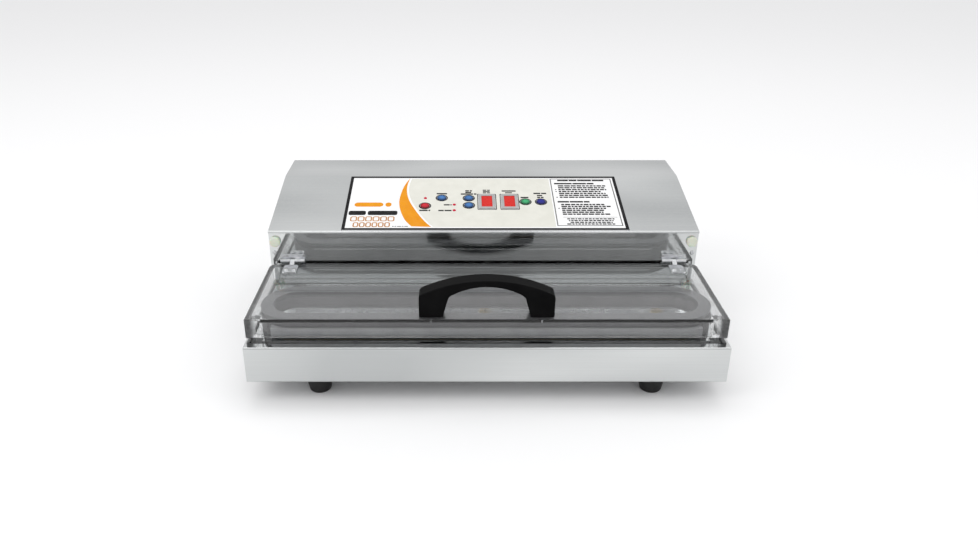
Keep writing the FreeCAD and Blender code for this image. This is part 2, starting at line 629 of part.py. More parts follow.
def make_heating_strip():
    return box(-SEAL_HALF_LENGTH + 1, SEAL_HALF_LENGTH - 1, SEAL_MIDDLE - HEATER_WIDTH / 2,
               SEAL_MIDDLE + HEATER_WIDTH / 2, DECK + SEAL_HEIGHT - HEATER_THICK, DECK + SEAL_HEIGHT)


def make_tape_cover():
    half = (BAR_BACK - RING_FRONT) / 2.0 - SEAL_INSET
    return box(-SEAL_HALF_LENGTH, SEAL_HALF_LENGTH, SEAL_MIDDLE - half, SEAL_MIDDLE + half,
               DECK + SEAL_HEIGHT, DECK + SEAL_HEIGHT + TAPE_THICK)


# ---------------------------------------------------------------- hinges and bumpers
def make_hinge_bracket(side):
    """Plate on the tower wall with two sleeves that hold the pin."""
    x = side * HINGE_X
    half = HINGE_SPAN / 2.0
    z0 = AXIS_Z - BRACKET_HEIGHT / 2.0
    plate = box(x - half, x + half, WALL_DEPTH - BRACKET_THICK, WALL_DEPTH, z0, z0 + BRACKET_HEIGHT)
    sleeves = []
    inner = KNUCKLE_WIDTH / 2.0 + RUN_GAP
    for a, b in ((x - half, x - inner), (x + inner, x + half)):
        sleeves.append(cylinder_x(a, b, AXIS_DEPTH, AXIS_Z, SLEEVE_RADIUS))
        sleeves.append(box(a, b, AXIS_DEPTH, WALL_DEPTH - BRACKET_THICK / 2, AXIS_Z - 1.6, AXIS_Z + 1.6))
    bore = cylinder_x(x - half - 1, x + half + 1, AXIS_DEPTH, AXIS_Z, PIN_RADIUS)
    slot = box(x - inner, x + inner, WALL_DEPTH - 2 * BRACKET_THICK, WALL_DEPTH + 1, z0 - 1,
               AXIS_Z + KNUCKLE_RADIUS + RUN_GAP)
    return cut(fuse([plate] + sleeves), [bore, slot])


def make_hinge_pins():
    half = HINGE_SPAN / 2.0
    return group(cylinder_x(s * HINGE_X - half, s * HINGE_X + half, AXIS_DEPTH, AXIS_Z, PIN_RADIUS)
                 for s in (-1, 1))


def make_hinge_strap(side):
    """Leaf on the lid with the knuckle that turns on the pin."""
    x = side * HINGE_X
    front = LID_BACK - STRAP_REACH
    half = KNUCKLE_WIDTH / 2.0
    plate = box(x - STRAP_WIDTH / 2, x + STRAP_WIDTH / 2, front, front + STRAP_PLATE, LID_TOP,
                LID_TOP + STRAP_THICK)
    corners = [e for e in plate.Edges if abs(e.BoundBox.ZMax - e.BoundBox.ZMin - STRAP_THICK) < 0.01]
    plate = plate.makeFillet(3.0, corners)
    neck = box(x - half, x + half, front + STRAP_PLATE - 4, AXIS_DEPTH, LID_TOP, LID_TOP + STRAP_THICK)
    knuckle = cylinder_x(x - half, x + half, AXIS_DEPTH, AXIS_Z, KNUCKLE_RADIUS)
    web = prism_x([(AXIS_DEPTH - 8, LID_TOP + STRAP_THICK / 2), (AXIS_DEPTH, LID_TOP + STRAP_THICK / 2),
                   (AXIS_DEPTH, AXIS_Z), (AXIS_DEPTH - KNUCKLE_RADIUS * 0.7, AXIS_Z + KNUCKLE_RADIUS * 0.7)],
                  x - half, x + half)
    strap = fuse([plate, neck, knuckle, web])
    bores = [cylinder_x(x - 4, x + 4, AXIS_DEPTH, AXIS_Z, PIN_RADIUS + FIT_GAP)]
    bores += [cylinder_z(px, pd, LID_TOP - 1, LID_TOP + 2 * STRAP_THICK, 1.6)
              for px, pd in strap_screws(side)]
    return cut(strap, bores)


def strap_screws(side):
    x = side * HINGE_X
    d = LID_BACK - STRAP_REACH + 6.0
    return [(x - 4.0, d), (x + 4.0, d)]


def make_bumper(side):
    """Nylon bumper that stops the open lid."""
    x, z = side * (HALF - BUMPER_SIDE), DECK + BUMPER_LIFT
    head = cylinder_y(x, WALL_DEPTH - BUMPER_PROUD, WALL_DEPTH, z, BUMPER_RADIUS)
    nose = [e for e in head.Edges if e.BoundBox.YMax < y_of(WALL_DEPTH - BUMPER_PROUD) + 0.01]
    head = head.makeFillet(1.2, nose)
    stem = cylinder_y(x, WALL_DEPTH - 1, WALL_DEPTH + SHEET + 3, z, BUMPER_RADIUS / 2)
    return fuse([head, stem])


# ---------------------------------------------------------------- lid
def lid_plan(x_inset, front, back, corner, z0, z1):
    """Block in the lid's outline from above, drawn in by x_inset."""
    half = HALF - x_inset
    points = [(-half, y_of(front)), (half, y_of(front)), (half, y_of(back)), (-half, y_of(back))]
    return prism_z(points, z0, z1, [1.0, 1.0, corner, corner])


def make_lid_shell():
    outer = lid_plan(0, LID_FRONT, LID_BACK, LID_CORNER, LID_BOTTOM, LID_TOP)
    top = [e for e in outer.Edges if e.BoundBox.ZMin > LID_TOP - 0.01]
    outer = outer.makeFillet(LID_EDGE, top)
    inner = lid_plan(LID_WALL, LID_FRONT + LID_WALL, LID_BACK - LID_WALL, LID_CORNER - LID_WALL + 0.5,
                     LID_BOTTOM - 1, LID_CEILING)
    shell = outer.cut(inner)
    reach = HALF - LID_WALL
    gussets = []
    for s in (-1, 1):
        a, b = sorted((s * (reach - 10.0), s * (reach + 1)))
        gussets.append(box(a, b, LID_FRONT + 1, LID_FRONT + LID_WALL + 8.0, LID_BOTTOM, LID_CEILING + 1))
    ring_back = RING_FRONT + RING_DEPTH
    rib = box(-SEAL_HALF_LENGTH, SEAL_HALF_LENGTH, ring_back + 1.5, ring_back + 4.0, LID_CEILING - 6.0,
              LID_CEILING + 1)
    holes = [cylinder_z(s * HANDLE_SCREW_SPACING / 2, handle_middle(), LID_CEILING - 1, LID_TOP + 1,
                        HANDLE_SCREW_RADIUS + 0.2) for s in (-1, 1)]
    for s in (-1, 1):
        holes += [cylinder_z(x, d, LID_CEILING - 1, LID_TOP + 1, 1.5) for x, d in strap_screws(s)]
    return cut(fuse([shell, rib] + gussets), holes)


def handle_middle():
    return LID_FRONT + HANDLE_SETBACK + HANDLE_WIDTH / 2.0


def make_gasket_carrier():
    """Holder of the lid's gasket, with a groove round the outside."""
    groove, groove_height = CARRIER_GROOVE
    step = CARRIER_BOTTOM + groove_height
    ring = fuse([
        oval_ring(RING_HALF_LENGTH, RING_DEPTH, RING_BAND, step, LID_CEILING),
        oval_ring(RING_HALF_LENGTH - groove, RING_DEPTH - 2 * groove, RING_BAND - groove,
                  CARRIER_BOTTOM, step),
    ])
    wells = [cylinder_z(s * HANDLE_SCREW_SPACING / 2, handle_middle(),
                        CARRIER_BOTTOM - 1, LID_CEILING + 1, 5.0)
             for s in (-1, 1)]
    return cut(ring, wells)


def make_upper_gasket():
    ring = oval_ring(RING_HALF_LENGTH, RING_DEPTH, RING_BAND, UPPER_GASKET_BOTTOM, CARRIER_BOTTOM)
    return ring.cut(box(-BAR_HALF_LENGTH - 0.1, BAR_HALF_LENGTH + 0.1, RING_FRONT - 1, BAR_BACK + 0.1,
                        UPPER_GASKET_BOTTOM - 1, CARRIER_BOTTOM + 1))


def make_pressure_bar():
    """Silicone bar under the front of the lid that presses the bag on the heater."""
    bar = box(-BAR_HALF_LENGTH, BAR_HALF_LENGTH, RING_FRONT, BAR_BACK, BAR_BOTTOM, CARRIER_BOTTOM)
    low = [e for e in bar.Edges if e.BoundBox.ZMax < BAR_BOTTOM + 0.01 and e.BoundBox.XLength > 10]
    return bar.makeFillet(1.0, low)


def make_handle():
    """Bow handle with a leg at each end."""
    leg_in = HANDLE_HALF - HANDLE_LEG
    neck_in = HANDLE_HALF - HANDLE_LEG_TOP
    under = HANDLE_RISE - HANDLE_GRIP

    def at(x, rise):
        return FreeCAD.Vector(x, 0, LID_TOP + rise)

    edges = [
        Part.LineSegment(at(HANDLE_HALF, 0), at(HANDLE_HALF, HANDLE_SHOULDER)).toShape(),
        Part.Arc(at(HANDLE_HALF, HANDLE_SHOULDER), at(0, HANDLE_RISE),
                 at(-HANDLE_HALF, HANDLE_SHOULDER)).toShape(),
        Part.LineSegment(at(-HANDLE_HALF, HANDLE_SHOULDER), at(-HANDLE_HALF, 0)).toShape(),
        Part.LineSegment(at(-HANDLE_HALF, 0), at(-leg_in, 0)).toShape(),
        Part.LineSegment(at(-leg_in, 0), at(-neck_in, HANDLE_INNER_RISE)).toShape(),
        Part.Arc(at(-neck_in, HANDLE_INNER_RISE), at(0, under), at(neck_in, HANDLE_INNER_RISE)).toShape(),
        Part.LineSegment(at(neck_in, HANDLE_INNER_RISE), at(leg_in, 0)).toShape(),
        Part.LineSegment(at(leg_in, 0), at(HANDLE_HALF, 0)).toShape(),
    ]
    bow = Part.Face(Part.Wire(edges)).extrude(FreeCAD.Vector(0, HANDLE_WIDTH, 0))
    bow.translate(FreeCAD.Vector(0, y_of(LID_FRONT + HANDLE_SETBACK), 0))
    across = [e for e in bow.Edges if abs(e.BoundBox.YLength - HANDLE_WIDTH) < 0.01]
    shoulders = [e for e in across if abs(abs(e.BoundBox.XMin) - HANDLE_HALF) < 0.01
                 and e.BoundBox.ZMin > LID_TOP + 1]
    bow = bow.makeFillet(HANDLE_CORNER, shoulders)
    across = [e for e in bow.Edges if abs(e.BoundBox.YLength - HANDLE_WIDTH) < 0.01]
    necks = [e for e in across
             if abs(abs(e.BoundBox.XMin) - neck_in) < 0.01 and e.BoundBox.ZMin > LID_TOP + 1]
    bow = bow.makeFillet(HANDLE_NECK, necks)
    rim = [e for e in bow.Edges if e.BoundBox.YLength < 0.01 and e.BoundBox.ZMax > LID_TOP + 1]
    bow = bow.makeFillet(HANDLE_EDGE, rim)
    holes = [cylinder_z(s * HANDLE_SCREW_SPACING / 2, handle_middle(), LID_TOP - 1, LID_TOP + 13,
                        HANDLE_SCREW_RADIUS) for s in (-1, 1)]
    return cut(bow, holes)


def make_lid_screws():
    screws = [screw(s * HANDLE_SCREW_SPACING / 2, handle_middle(), LID_CEILING, (0, 0, 1), 3.8, 2.2,
                    HANDLE_SCREW_RADIUS, LID_WALL + 11.0) for s in (-1, 1)]
    for s in (-1, 1):
        screws += [screw(x, d, LID_TOP + STRAP_THICK, (0, 0, -1), 2.6, 1.2, 1.4, 6.0)
                   for x, d in strap_screws(s)]
    return group(screws)


# ---------------------------------------------------------------- control panel
def make_control_overlay():
    points = [(0, 0), (LABEL_WIDTH, 0), (LABEL_WIDTH, LABEL_HEIGHT), (0, LABEL_HEIGHT)]
    sheet = on_slope(prism_z(points, 0, LABEL_THICK, [2.0] * 4))
    tools = [slope_cylinder(u, v, -1, 2, BUTTON_RADIUS + RUN_GAP) for u, v in BUTTONS.values()]
    tools += [slope_cylinder(u, v, -1, 2, LED_RADIUS + LED_GAP) for u, v in LEDS.values()]
    opening = (WINDOW_SIZE[0] + 2 * HOLE_GAP, WINDOW_SIZE[1] + 2 * HOLE_GAP)
    tools += [slope_block(u, v, opening, -1, 2) for u, v in DISPLAYS.values()]
    return cut(sheet, tools)


def make_button(u, v):
    """Domed cap with a collar under the cover and a stem that works the switch."""
    cap_low = -SHEET - RUN_GAP - 0.5
    cap = Part.makeCylinder(BUTTON_RADIUS, BUTTON_RISE - cap_low, FreeCAD.Vector(u, v, cap_low))
    cap = cap.makeFillet(0.7, [e for e in cap.Edges if e.BoundBox.ZMin > BUTTON_RISE - 0.01])
    collar = Part.makeCylinder(BUTTON_RADIUS + BUTTON_COLLAR, BUTTON_COLLAR_THICK,
                               FreeCAD.Vector(u, v, -SHEET - RUN_GAP - BUTTON_COLLAR_THICK))
    tip = -BOARD_DROP + SWITCH_HEIGHT - STEM_ENTRY
    stem = Part.makeCylinder(STEM_RADIUS, -SHEET - tip, FreeCAD.Vector(u, v, tip))
    return on_slope(fuse([cap, collar, stem]))


def make_tact_switches():
    solids = []
    depth = STEM_ENTRY + BUTTON_TRAVEL + 0.4
    for u, v in BUTTONS.values():
        body = slope_block(u, v, (SWITCH_SIDE, SWITCH_SIDE), -BOARD_DROP, -BOARD_DROP + SWITCH_HEIGHT)
        bore = slope_cylinder(u, v, -BOARD_DROP + SWITCH_HEIGHT - depth, 0, STEM_RADIUS + 2 * FIT_GAP)
        solids.append(body.cut(bore))
    return group(solids)


def make_leds():
    solids = []
    for u, v in LEDS.values():
        lens = Part.makeCylinder(LED_RADIUS, BOARD_DROP + LED_RISE, FreeCAD.Vector(u, v, -BOARD_DROP))
        lens = lens.makeFillet(LED_DOME, [e for e in lens.Edges if e.BoundBox.ZMin > LED_RISE - 0.01])
        rim = Part.makeCylinder(LED_RADIUS + LED_RIM, LED_RIM_THICK, FreeCAD.Vector(u, v, -BOARD_DROP))
        solids.append(on_slope(fuse([lens, rim])))
    return group(solids)


def make_bezels():
    solids = []
    for u, v in DISPLAYS.values():
        frame = slope_block(u, v, BEZEL_SIZE, LABEL_THICK, LABEL_THICK + BEZEL_RISE)
        solids.append(frame.cut(slope_block(u, v, WINDOW_SIZE, -1, 4)))
    return group(solids)


def make_lenses():
    return group(slope_block(u, v, WINDOW_SIZE, -SHEET, LABEL_THICK + 0.5) for u, v in DISPLAYS.values())


def make_display_modules():
    return group(slope_block(u, v, (WINDOW_SIZE[0] - 0.6, WINDOW_SIZE[1] - 0.6), -BOARD_DROP, -SHEET - 0.2)
                 for u, v in DISPLAYS.values())


def board_corners():
    return [(u, v) for u in (BOARD_U[0] + BOARD_INSET, BOARD_U[1] - BOARD_INSET)
            for v in (BOARD_V[0] + BOARD_INSET, BOARD_V[1] - BOARD_INSET)]


def make_control_board():
    middle = (sum(BOARD_U) / 2.0, sum(BOARD_V) / 2.0)
    size = (BOARD_U[1] - BOARD_U[0], BOARD_V[1] - BOARD_V[0])
    board = slope_block(*middle, size, -BOARD_DROP - BOARD_THICK, -BOARD_DROP)
    chip = slope_block(middle[0] + 10, BOARD_V[0] + 14, (18, 8), -BOARD_DROP - BOARD_THICK - 3,
                       -BOARD_DROP - BOARD_THICK / 2)
    plug = slope_block(middle[0] + 50, BOARD_V[0] + 12, (24, 7), -BOARD_DROP - BOARD_THICK - 8,
                       -BOARD_DROP - BOARD_THICK / 2)
    holes = [slope_cylinder(u, v, -BOARD_DROP - 5, -BOARD_DROP + 1, 1.6) for u, v in board_corners()]
    return cut(fuse([board, chip, plug]), holes)


def make_standoffs():
    solids = []
    for u, v in board_corners():
        post = slope_cylinder(u, v, -BOARD_DROP, -SHEET, 3.0)
        shank = slope_cylinder(u, v, -BOARD_DROP - BOARD_THICK - 0.5, -BOARD_DROP + 1, 1.5)
        nut = slope_cylinder(u, v, -BOARD_DROP - BOARD_THICK - 2.4, -BOARD_DROP - BOARD_THICK, 2.8)
        solids.append(fuse([post, shank, nut]))
    return group(solids)


# ---------------------------------------------------------------- inside the tower
FLOOR = PLATE_BOTTOM + SHEET


def make_transformer_core():
    w, t, h = CORE
    d0 = CORE_DEPTH - t / 2.0
    core = box(CORE_X - w / 2, CORE_X + w / 2, d0, d0 + t, FLOOR, FLOOR + h)
    side = CORE_LIMB / 2.0
    tools = []
    for s in (-1, 1):
        a, b = sorted((CORE_X + s * CORE_LIMB / 2, CORE_X + s * (w / 2 - side)))
        tools.append(box(a, b, d0 - 1, d0 + t + 1, FLOOR + side, FLOOR + h - side))
    return cut(core, tools)


def make_transformer_coil():
    w, t, h = CORE
    side = CORE_LIMB / 2.0
    gap = 0.2
    reach = w / 2 - side - gap
    z0, z1 = FLOOR + side + gap, FLOOR + h - side - gap
    coil = box(CORE_X - reach, CORE_X + reach,
               CORE_DEPTH - t / 2 - COIL_PROUD, CORE_DEPTH + t / 2 + COIL_PROUD,
               z0, z1)
    upright = [e for e in coil.Edges if abs(e.BoundBox.ZLength - (z1 - z0)) < 0.01]
    coil = coil.makeFillet(6.0, upright)
    return coil.cut(box(CORE_X - CORE_LIMB / 2 - gap, CORE_X + CORE_LIMB / 2 + gap, CORE_DEPTH - t / 2 - gap,
                        CORE_DEPTH + t / 2 + gap, z0 - 1, z1 + 1))


def pump_end(side):
    """Inner and outer X of the crankcase on one side."""
    near = PUMP_X + side * (PUMP_CAN_LENGTH / 2 + 0.5)
    return near, near + side * CRANKCASE[0]


PUMP_Z = CASE_BOTTOM + PUMP_AXIS
CRANKCASE_TOP = PUMP_Z + CRANKCASE[2] / 2.0
CYLINDER_TOP = CRANKCASE_TOP + CYLINDER_HEIGHT


def make_pump_motor():
    half = PUMP_CAN_LENGTH / 2
    can = cylinder_x(PUMP_X - half, PUMP_X + half, PUMP_DEPTH, PUMP_Z, PUMP_CAN_RADIUS)
    foot = box(PUMP_X - half + 6, PUMP_X + half - 6, PUMP_DEPTH - 20, PUMP_DEPTH + 20, FLOOR,
               PUMP_Z - PUMP_CAN_RADIUS * 0.7)
    hollow = cylinder_x(PUMP_X - half + 2, PUMP_X + half - 2, PUMP_DEPTH, PUMP_Z, PUMP_CAN_RADIUS - 2)
    bore = cylinder_x(PUMP_X - half - 1, PUMP_X + half + 1, PUMP_DEPTH, PUMP_Z, SHAFT_RADIUS + FIT_GAP)
    return cut(fuse([can, foot]), [hollow, bore])


def make_pump_rotor():
    """Armature, shaft and the two crank discs, half a turn apart."""
    half = PUMP_CAN_LENGTH / 2
    reach = half + 0.5 + CRANKCASE[0] - CRANK_WALL - 1.0
    shaft = cylinder_x(PUMP_X - reach, PUMP_X + reach, PUMP_DEPTH, PUMP_Z, SHAFT_RADIUS)
    armature = cylinder_x(PUMP_X - half + 12, PUMP_X + half - 12, PUMP_DEPTH, PUMP_Z, PUMP_CAN_RADIUS - 8)
    discs = []
    for side in (-1, 1):
        near = PUMP_X + side * (half + 0.5 + CRANK_WALL + 6.0)
        a, b = sorted((near, near + side * 12.0))
        discs.append(cylinder_x(a, b, PUMP_DEPTH, PUMP_Z + side * CRANK_THROW, CRANK_RADIUS))
    return fuse([shaft, armature] + discs)


def make_pump_block(side):
    """Crankcase, finned cylinder and head of one side of the pump."""
    near, far = pump_end(side)
    x0, x1 = sorted((near, far))
    middle = (x0 + x1) / 2.0
    d0, d1 = PUMP_DEPTH - CRANKCASE[1] / 2, PUMP_DEPTH + CRANKCASE[1] / 2
    z0 = PUMP_Z - CRANKCASE[2] / 2
    case = box(x0, x1, d0, d1, z0, CRANKCASE_TOP)
    foot = box(x0 + 6, x1 - 6, PUMP_DEPTH - 12, PUMP_DEPTH + 12, FLOOR, z0 + 1)
    barrel = cylinder_z(middle, PUMP_DEPTH, CRANKCASE_TOP - 1, CYLINDER_TOP + 1,
                        PISTON_RADIUS + CYLINDER_WALL)
    first_fin = PUMP_Z + PUMP_CAN_RADIUS + 1.0
    pitch = (CYLINDER_TOP - first_fin) / FIN_COUNT
    fins = [cylinder_z(middle, PUMP_DEPTH, first_fin + i * pitch, first_fin + i * pitch + 1.5,
                       PISTON_RADIUS + CYLINDER_WALL + 3.5) for i in range(FIN_COUNT)]
    head = box(middle - HEAD_SIZE / 2, middle + HEAD_SIZE / 2, PUMP_DEPTH - HEAD_SIZE / 2,
               PUMP_DEPTH + HEAD_SIZE / 2, CYLINDER_TOP, CYLINDER_TOP + HEAD_HEIGHT)
    barb = cylinder_y(middle, PUMP_DEPTH - HEAD_SIZE / 2 - 10, PUMP_DEPTH - HEAD_SIZE / 2 + 1,
                      CYLINDER_TOP + HEAD_HEIGHT / 2, 3.0)
    w = CRANK_WALL
    chamber = box(x0 + w, x1 - w, d0 + w, d1 - w, z0 + w, CRANKCASE_TOP - w)
    bore = cylinder_z(middle, PUMP_DEPTH, CRANKCASE_TOP - 2 * w, CYLINDER_TOP - 0.1, PISTON_RADIUS)
    inner_wall = sorted((near - side, near + side * (w + 1)))
    shaft_hole = cylinder_x(inner_wall[0], inner_wall[1], PUMP_DEPTH, PUMP_Z, SHAFT_RADIUS + FIT_GAP)
    return cut(fuse([case, foot, barrel, head, barb] + fins), [chamber, bore, shaft_hole])


def piston_middle(side):
    """The right piston starts at the top of its stroke and the left one at the bottom."""
    top = CYLINDER_TOP - PISTON_HEIGHT / 2.0 - 1.0
    return top - CRANK_THROW + side * CRANK_THROW


def make_piston(side):
    """Piston with the upper end of its rod."""
    near, far = pump_end(side)
    middle = (near + far) / 2.0
    z = piston_middle(side)
    crown = cylinder_z(middle, PUMP_DEPTH, z - PISTON_HEIGHT / 2, z + PISTON_HEIGHT / 2,
                       PISTON_RADIUS - FIT_GAP)
    groove = cylinder_z(middle, PUMP_DEPTH, z + 1, z + 2.5, PISTON_RADIUS + 1).cut(
        cylinder_z(middle, PUMP_DEPTH, z, z + 3, PISTON_RADIUS - 1.2))
    rod_length = piston_middle(-1) - PISTON_HEIGHT / 2 - (PUMP_Z + CRANK_RADIUS + CRANK_THROW) - 1.0
    rod = box(middle - 4, middle + 4, PUMP_DEPTH - 5, PUMP_DEPTH + 5, z - PISTON_HEIGHT / 2 - rod_length,
              z - PISTON_HEIGHT / 2 + 1)
    return fuse([crown.cut(groove), rod])


def make_release_valve():
    """Solenoid valve on the right-hand head that lets air back in."""
    near, far = pump_end(1)
    middle = (near + far) / 2.0
    x0 = middle + HEAD_SIZE / 2
    z = CYLINDER_TOP + HEAD_HEIGHT / 2
    body = box(x0, x0 + 22, PUMP_DEPTH - 9, PUMP_DEPTH + 9, z - 12, z + 4)
    coil = cylinder_x(x0 + 22, x0 + 40, PUMP_DEPTH, z - 4, 8.0)
    return fuse([body, coil])


def tube_path(points, radii):
    """Straight runs joined by tangent arcs through a list of points."""
    points = [FreeCAD.Vector(*p) for p in points]
    edges, start = [], points[0]
    for i in range(1, len(points) - 1):
        back = (points[i - 1] - points[i]).normalize()
        ahead = (points[i + 1] - points[i]).normalize()
        half = math.acos(back.dot(ahead)) / 2.0
        reach = radii[i - 1] / math.tan(half)
        bisector = (back + ahead).normalize()
        a, b = points[i] + back * reach, points[i] + ahead * reach
        centre = points[i] + bisector * (radii[i - 1] / math.sin(half))
        edges.append(Part.LineSegment(start, a).toShape())
        edges.append(Part.Arc(a, centre - bisector * radii[i - 1], b).toShape())
        start = b
    edges.append(Part.LineSegment(start, points[-1]).toShape())
    return Part.Wire(edges)


def make_vacuum_hose():
    """Hose from the trough's suction port to the left pump head."""
    near, far = pump_end(-1)
    x1 = (near + far) / 2.0
    z0 = TROUGH_FLOOR - TROUGH_SHEET - PORT_DROP + PORT_RADIUS
    z1 = CYLINDER_TOP + HEAD_HEIGHT / 2
    d0 = PORT_DEPTH + 22.0
    d1 = PUMP_DEPTH - HEAD_SIZE / 2 - 10.0
    start, end = (PORT_X[0], y_of(d0), z0), (x1, y_of(d1), z1)
    points = [start, (PORT_X[0], y_of(WALL_DEPTH + 13.0), z0), (x1, y_of(d1 - 29.0), z1), end]
    a, b, c, e = [FreeCAD.Vector(*p) for p in points]
    radii = []
    for before, here, after in ((a, b, c), (b, c, e)):
        half = math.acos((before - here).normalize().dot((after - here).normalize())) / 2.0
        radii.append(0.45 * min(here.distanceToPoint(before), here.distanceToPoint(after)) * math.tan(half))
    path = tube_path(points, radii)
    print("hose radii", [round(r, 1) for r in radii])
    profile = Part.Wire(Part.makeCircle(HOSE_RADIUS, a, FreeCAD.Vector(0, 1, 0)))
    return path.makePipeShell([profile], True, False)


def make_fan_frame():
    x, z = fan_place()
    d0 = REAR_FACE - SHEET - FAN_THICK
    d1 = REAR_FACE - SHEET
    half = FAN_SIZE / 2
    plate = prism_d([(x - half, z - half), (x + half, z - half), (x + half, z + half), (x - half, z + half)],
                    d0, d1, [4.0] * 4)
    waist = prism_d([(x - half - 1, z - half - 1), (x + half + 1, z - half - 1),
                     (x + half + 1, z + half + 1),
                     (x - half - 1, z + half + 1)], d0 + 4, d1 - 4).cut(cylinder_y(x, d0, d1, z, half - 0.2))
    tools = [cylinder_y(x, d0 - 1, d1 + 1, z, FAN_BORE), waist]
    tools += [cylinder_y(a, d0 - 1, d1 + 1, b, 2.2) for a, b in fan_holes()]
    frame = cut(plate, tools)
    hub = cylinder_y(x, d0, d0 + 4, z, FAN_HUB)
    struts = []
    for i in range(4):
        strut = box(-2, 2, d0, d0 + 3, FAN_HUB - 2, FAN_BORE + 1)
        strut.rotate(FreeCAD.Vector(0, 0, 0), FreeCAD.Vector(0, 1, 0), 45 + 90 * i)
        strut.translate(FreeCAD.Vector(x, 0, z))
        struts.append(strut)
    post = cylinder_y(x, d0 + 3, d0 + 16, z, 2.0)
    return fuse([frame, hub, post] + struts)


def make_fan_rotor():
    x, z = fan_place()
    d0 = REAR_FACE - SHEET - FAN_THICK + 4.6
    d1 = REAR_FACE - SHEET - 2.0
    hub = cylinder_y(x, d0, d1, z, FAN_HUB).cut(cylinder_y(x, d0 - 1, d1 - 1.5, z, 2.0 + FIT_GAP))
    ring = cylinder_y(x, d0, d1, z, FAN_BORE - 1.0)
    blades = []
    for i in range(FAN_BLADES):
        blade = Part.makeBox(1.4, 44.0, FAN_BORE, FreeCAD.Vector(-0.7, -22.0, FAN_HUB - 2))
        blade.rotate(FreeCAD.Vector(0, 0, 0), FreeCAD.Vector(0, 0, 1), 48)
        blade.translate(FreeCAD.Vector(0, y_of((d0 + d1) / 2), 0))
        blade.rotate(FreeCAD.Vector(0, 0, 0), FreeCAD.Vector(0, 1, 0), 360.0 * i / FAN_BLADES)
        blade.translate(FreeCAD.Vector(x, 0, z))
        blades.append(blade.common(ring))
    bore = cylinder_y(x, d0 - 1, d1 - 1.5, z, 2.0 + FIT_GAP)
    return fuse([hub] + blades).cut(bore)


def make_fan_guard():
    x, z = fan_place()
    d1 = REAR_FACE + GUARD_WIRE
    rings = [cylinder_y(x, REAR_FACE, d1, z, r).cut(cylinder_y(x, REAR_FACE - 1, d1 + 1, z, r - GUARD_WIRE))
             for r in (10.0, 19.0, 28.0, 37.0)]
    half = FAN_HOLE_SPACING / 2
    bars = []
    for angle in (45, 135):
        bar = box(-half * 1.4142, half * 1.4142, REAR_FACE, d1 - 0.4, -1.0, 1.0)
        bar.rotate(FreeCAD.Vector(0, 0, 0), FreeCAD.Vector(0, 1, 0), angle)
        bar.translate(FreeCAD.Vector(x, 0, z))
        bars.append(bar)
    eyes = [cylinder_y(a, REAR_FACE, d1 - 0.4, b, 4.0) for a, b in fan_holes()]
    heads = [cylinder_y(a, REAR_FACE - 8, REAR_FACE + 1, b, 1.8) for a, b in fan_holes()]
    return fuse(rings + bars + eyes + heads)


def make_power_inlet():
    x, z = inlet_place()
    w, h = INLET_FLANGE[0] / 2, INLET_FLANGE[1] / 2
    flange = prism_d([(x - w, z - h), (x + w, z - h), (x + w, z + h), (x - w, z + h)], REAR_FACE,
                     REAR_FACE + SHEET, [5.0] * 4)
    a, b = INLET_BODY[0] / 2, INLET_BODY[1] / 2
    body = box(x - a, x + a, REAR_FACE - INLET_DEPTH, REAR_FACE + 0.5, z - b, z + b)
    a, b = INLET_CAVITY[0] / 2, INLET_CAVITY[1] / 2
    cavity = prism_d([(x - a, z - b), (x + a, z - b), (x + a, z + b), (x - a, z + b)],
                     REAR_FACE - INLET_DEPTH + 3, REAR_FACE + 5, [0.5, 0.5, 5.0, 5.0])
    holes = [cylinder_y(x + s * INLET_SCREW_SPACING / 2, REAR_FACE - 1, REAR_FACE + 3, z, 1.6)
             for s in (-1, 1)]
    slots = [box(x + dx - 1, x + dx + 1, REAR_FACE - INLET_DEPTH - 1, REAR_FACE - INLET_DEPTH + 4,
                 z + dz - 2, z + dz + 2) for dx, dz in inlet_pin_places()]
    return cut(fuse([flange, body]), [cavity] + holes + slots)


def inlet_pin_places():
    return ((-7.0, -1.5), (0.0, 2.5), (7.0, -1.5))


def make_inlet_pins():
    x, z = inlet_place()
    return group(box(x + dx - 1, x + dx + 1,
                     REAR_FACE - INLET_DEPTH - 7, REAR_FACE - INLET_DEPTH + 3 + PIN_LENGTH,
                     z + dz - 2, z + dz + 2) for dx, dz in inlet_pin_places())


# ---------------------------------------------------------------- all nodes
NODES = {
    "deck_shell": make_deck_shell(),
    "top_cover": make_top_cover(),
    "rear_panel": make_rear_panel(),
    "bottom_plate": make_bottom_plate(),
    "case_screws": make_case_screws(),
    "vacuum_trough": make_vacuum_trough(),
    "trough_ports": group(make_port(x) for x in PORT_X),
    "lower_gasket": make_lower_gasket(),
    "seal_bar": make_seal_bar(),
    "heating_strip": make_heating_strip(),
    "heater_tape_cover": make_tape_cover(),
    "hinge_pins": make_hinge_pins(),
    "lid_shell": make_lid_shell(),
    "gasket_carrier": make_gasket_carrier(),
    "upper_gasket": make_upper_gasket(),
    "pressure_bar": make_pressure_bar(),
    "handle": make_handle(),
    "lid_screws": make_lid_screws(),
    "control_overlay": make_control_overlay(),
    "display_bezels": make_bezels(),
    "display_lenses": make_lenses(),
    "display_modules": make_display_modules(),
    "indicator_leds": make_leds(),
    "tact_switches": make_tact_switches(),
    "control_board": make_control_board(),
    "board_standoffs": make_standoffs(),
    "transformer_core": make_transformer_core(),
    "transformer_coil": make_transformer_coil(),
    "pump_motor": make_pump_motor(),
    "pump_rotor": make_pump_rotor(),
    "release_valve": make_release_valve(),
    "vacuum_hose": make_vacuum_hose(),
    "fan_frame": make_fan_frame(),
    "fan_rotor": make_fan_rotor(),
    "fan_guard": make_fan_guard(),
    "power_inlet": make_power_inlet(),
    "inlet_pins": make_inlet_pins(),
}
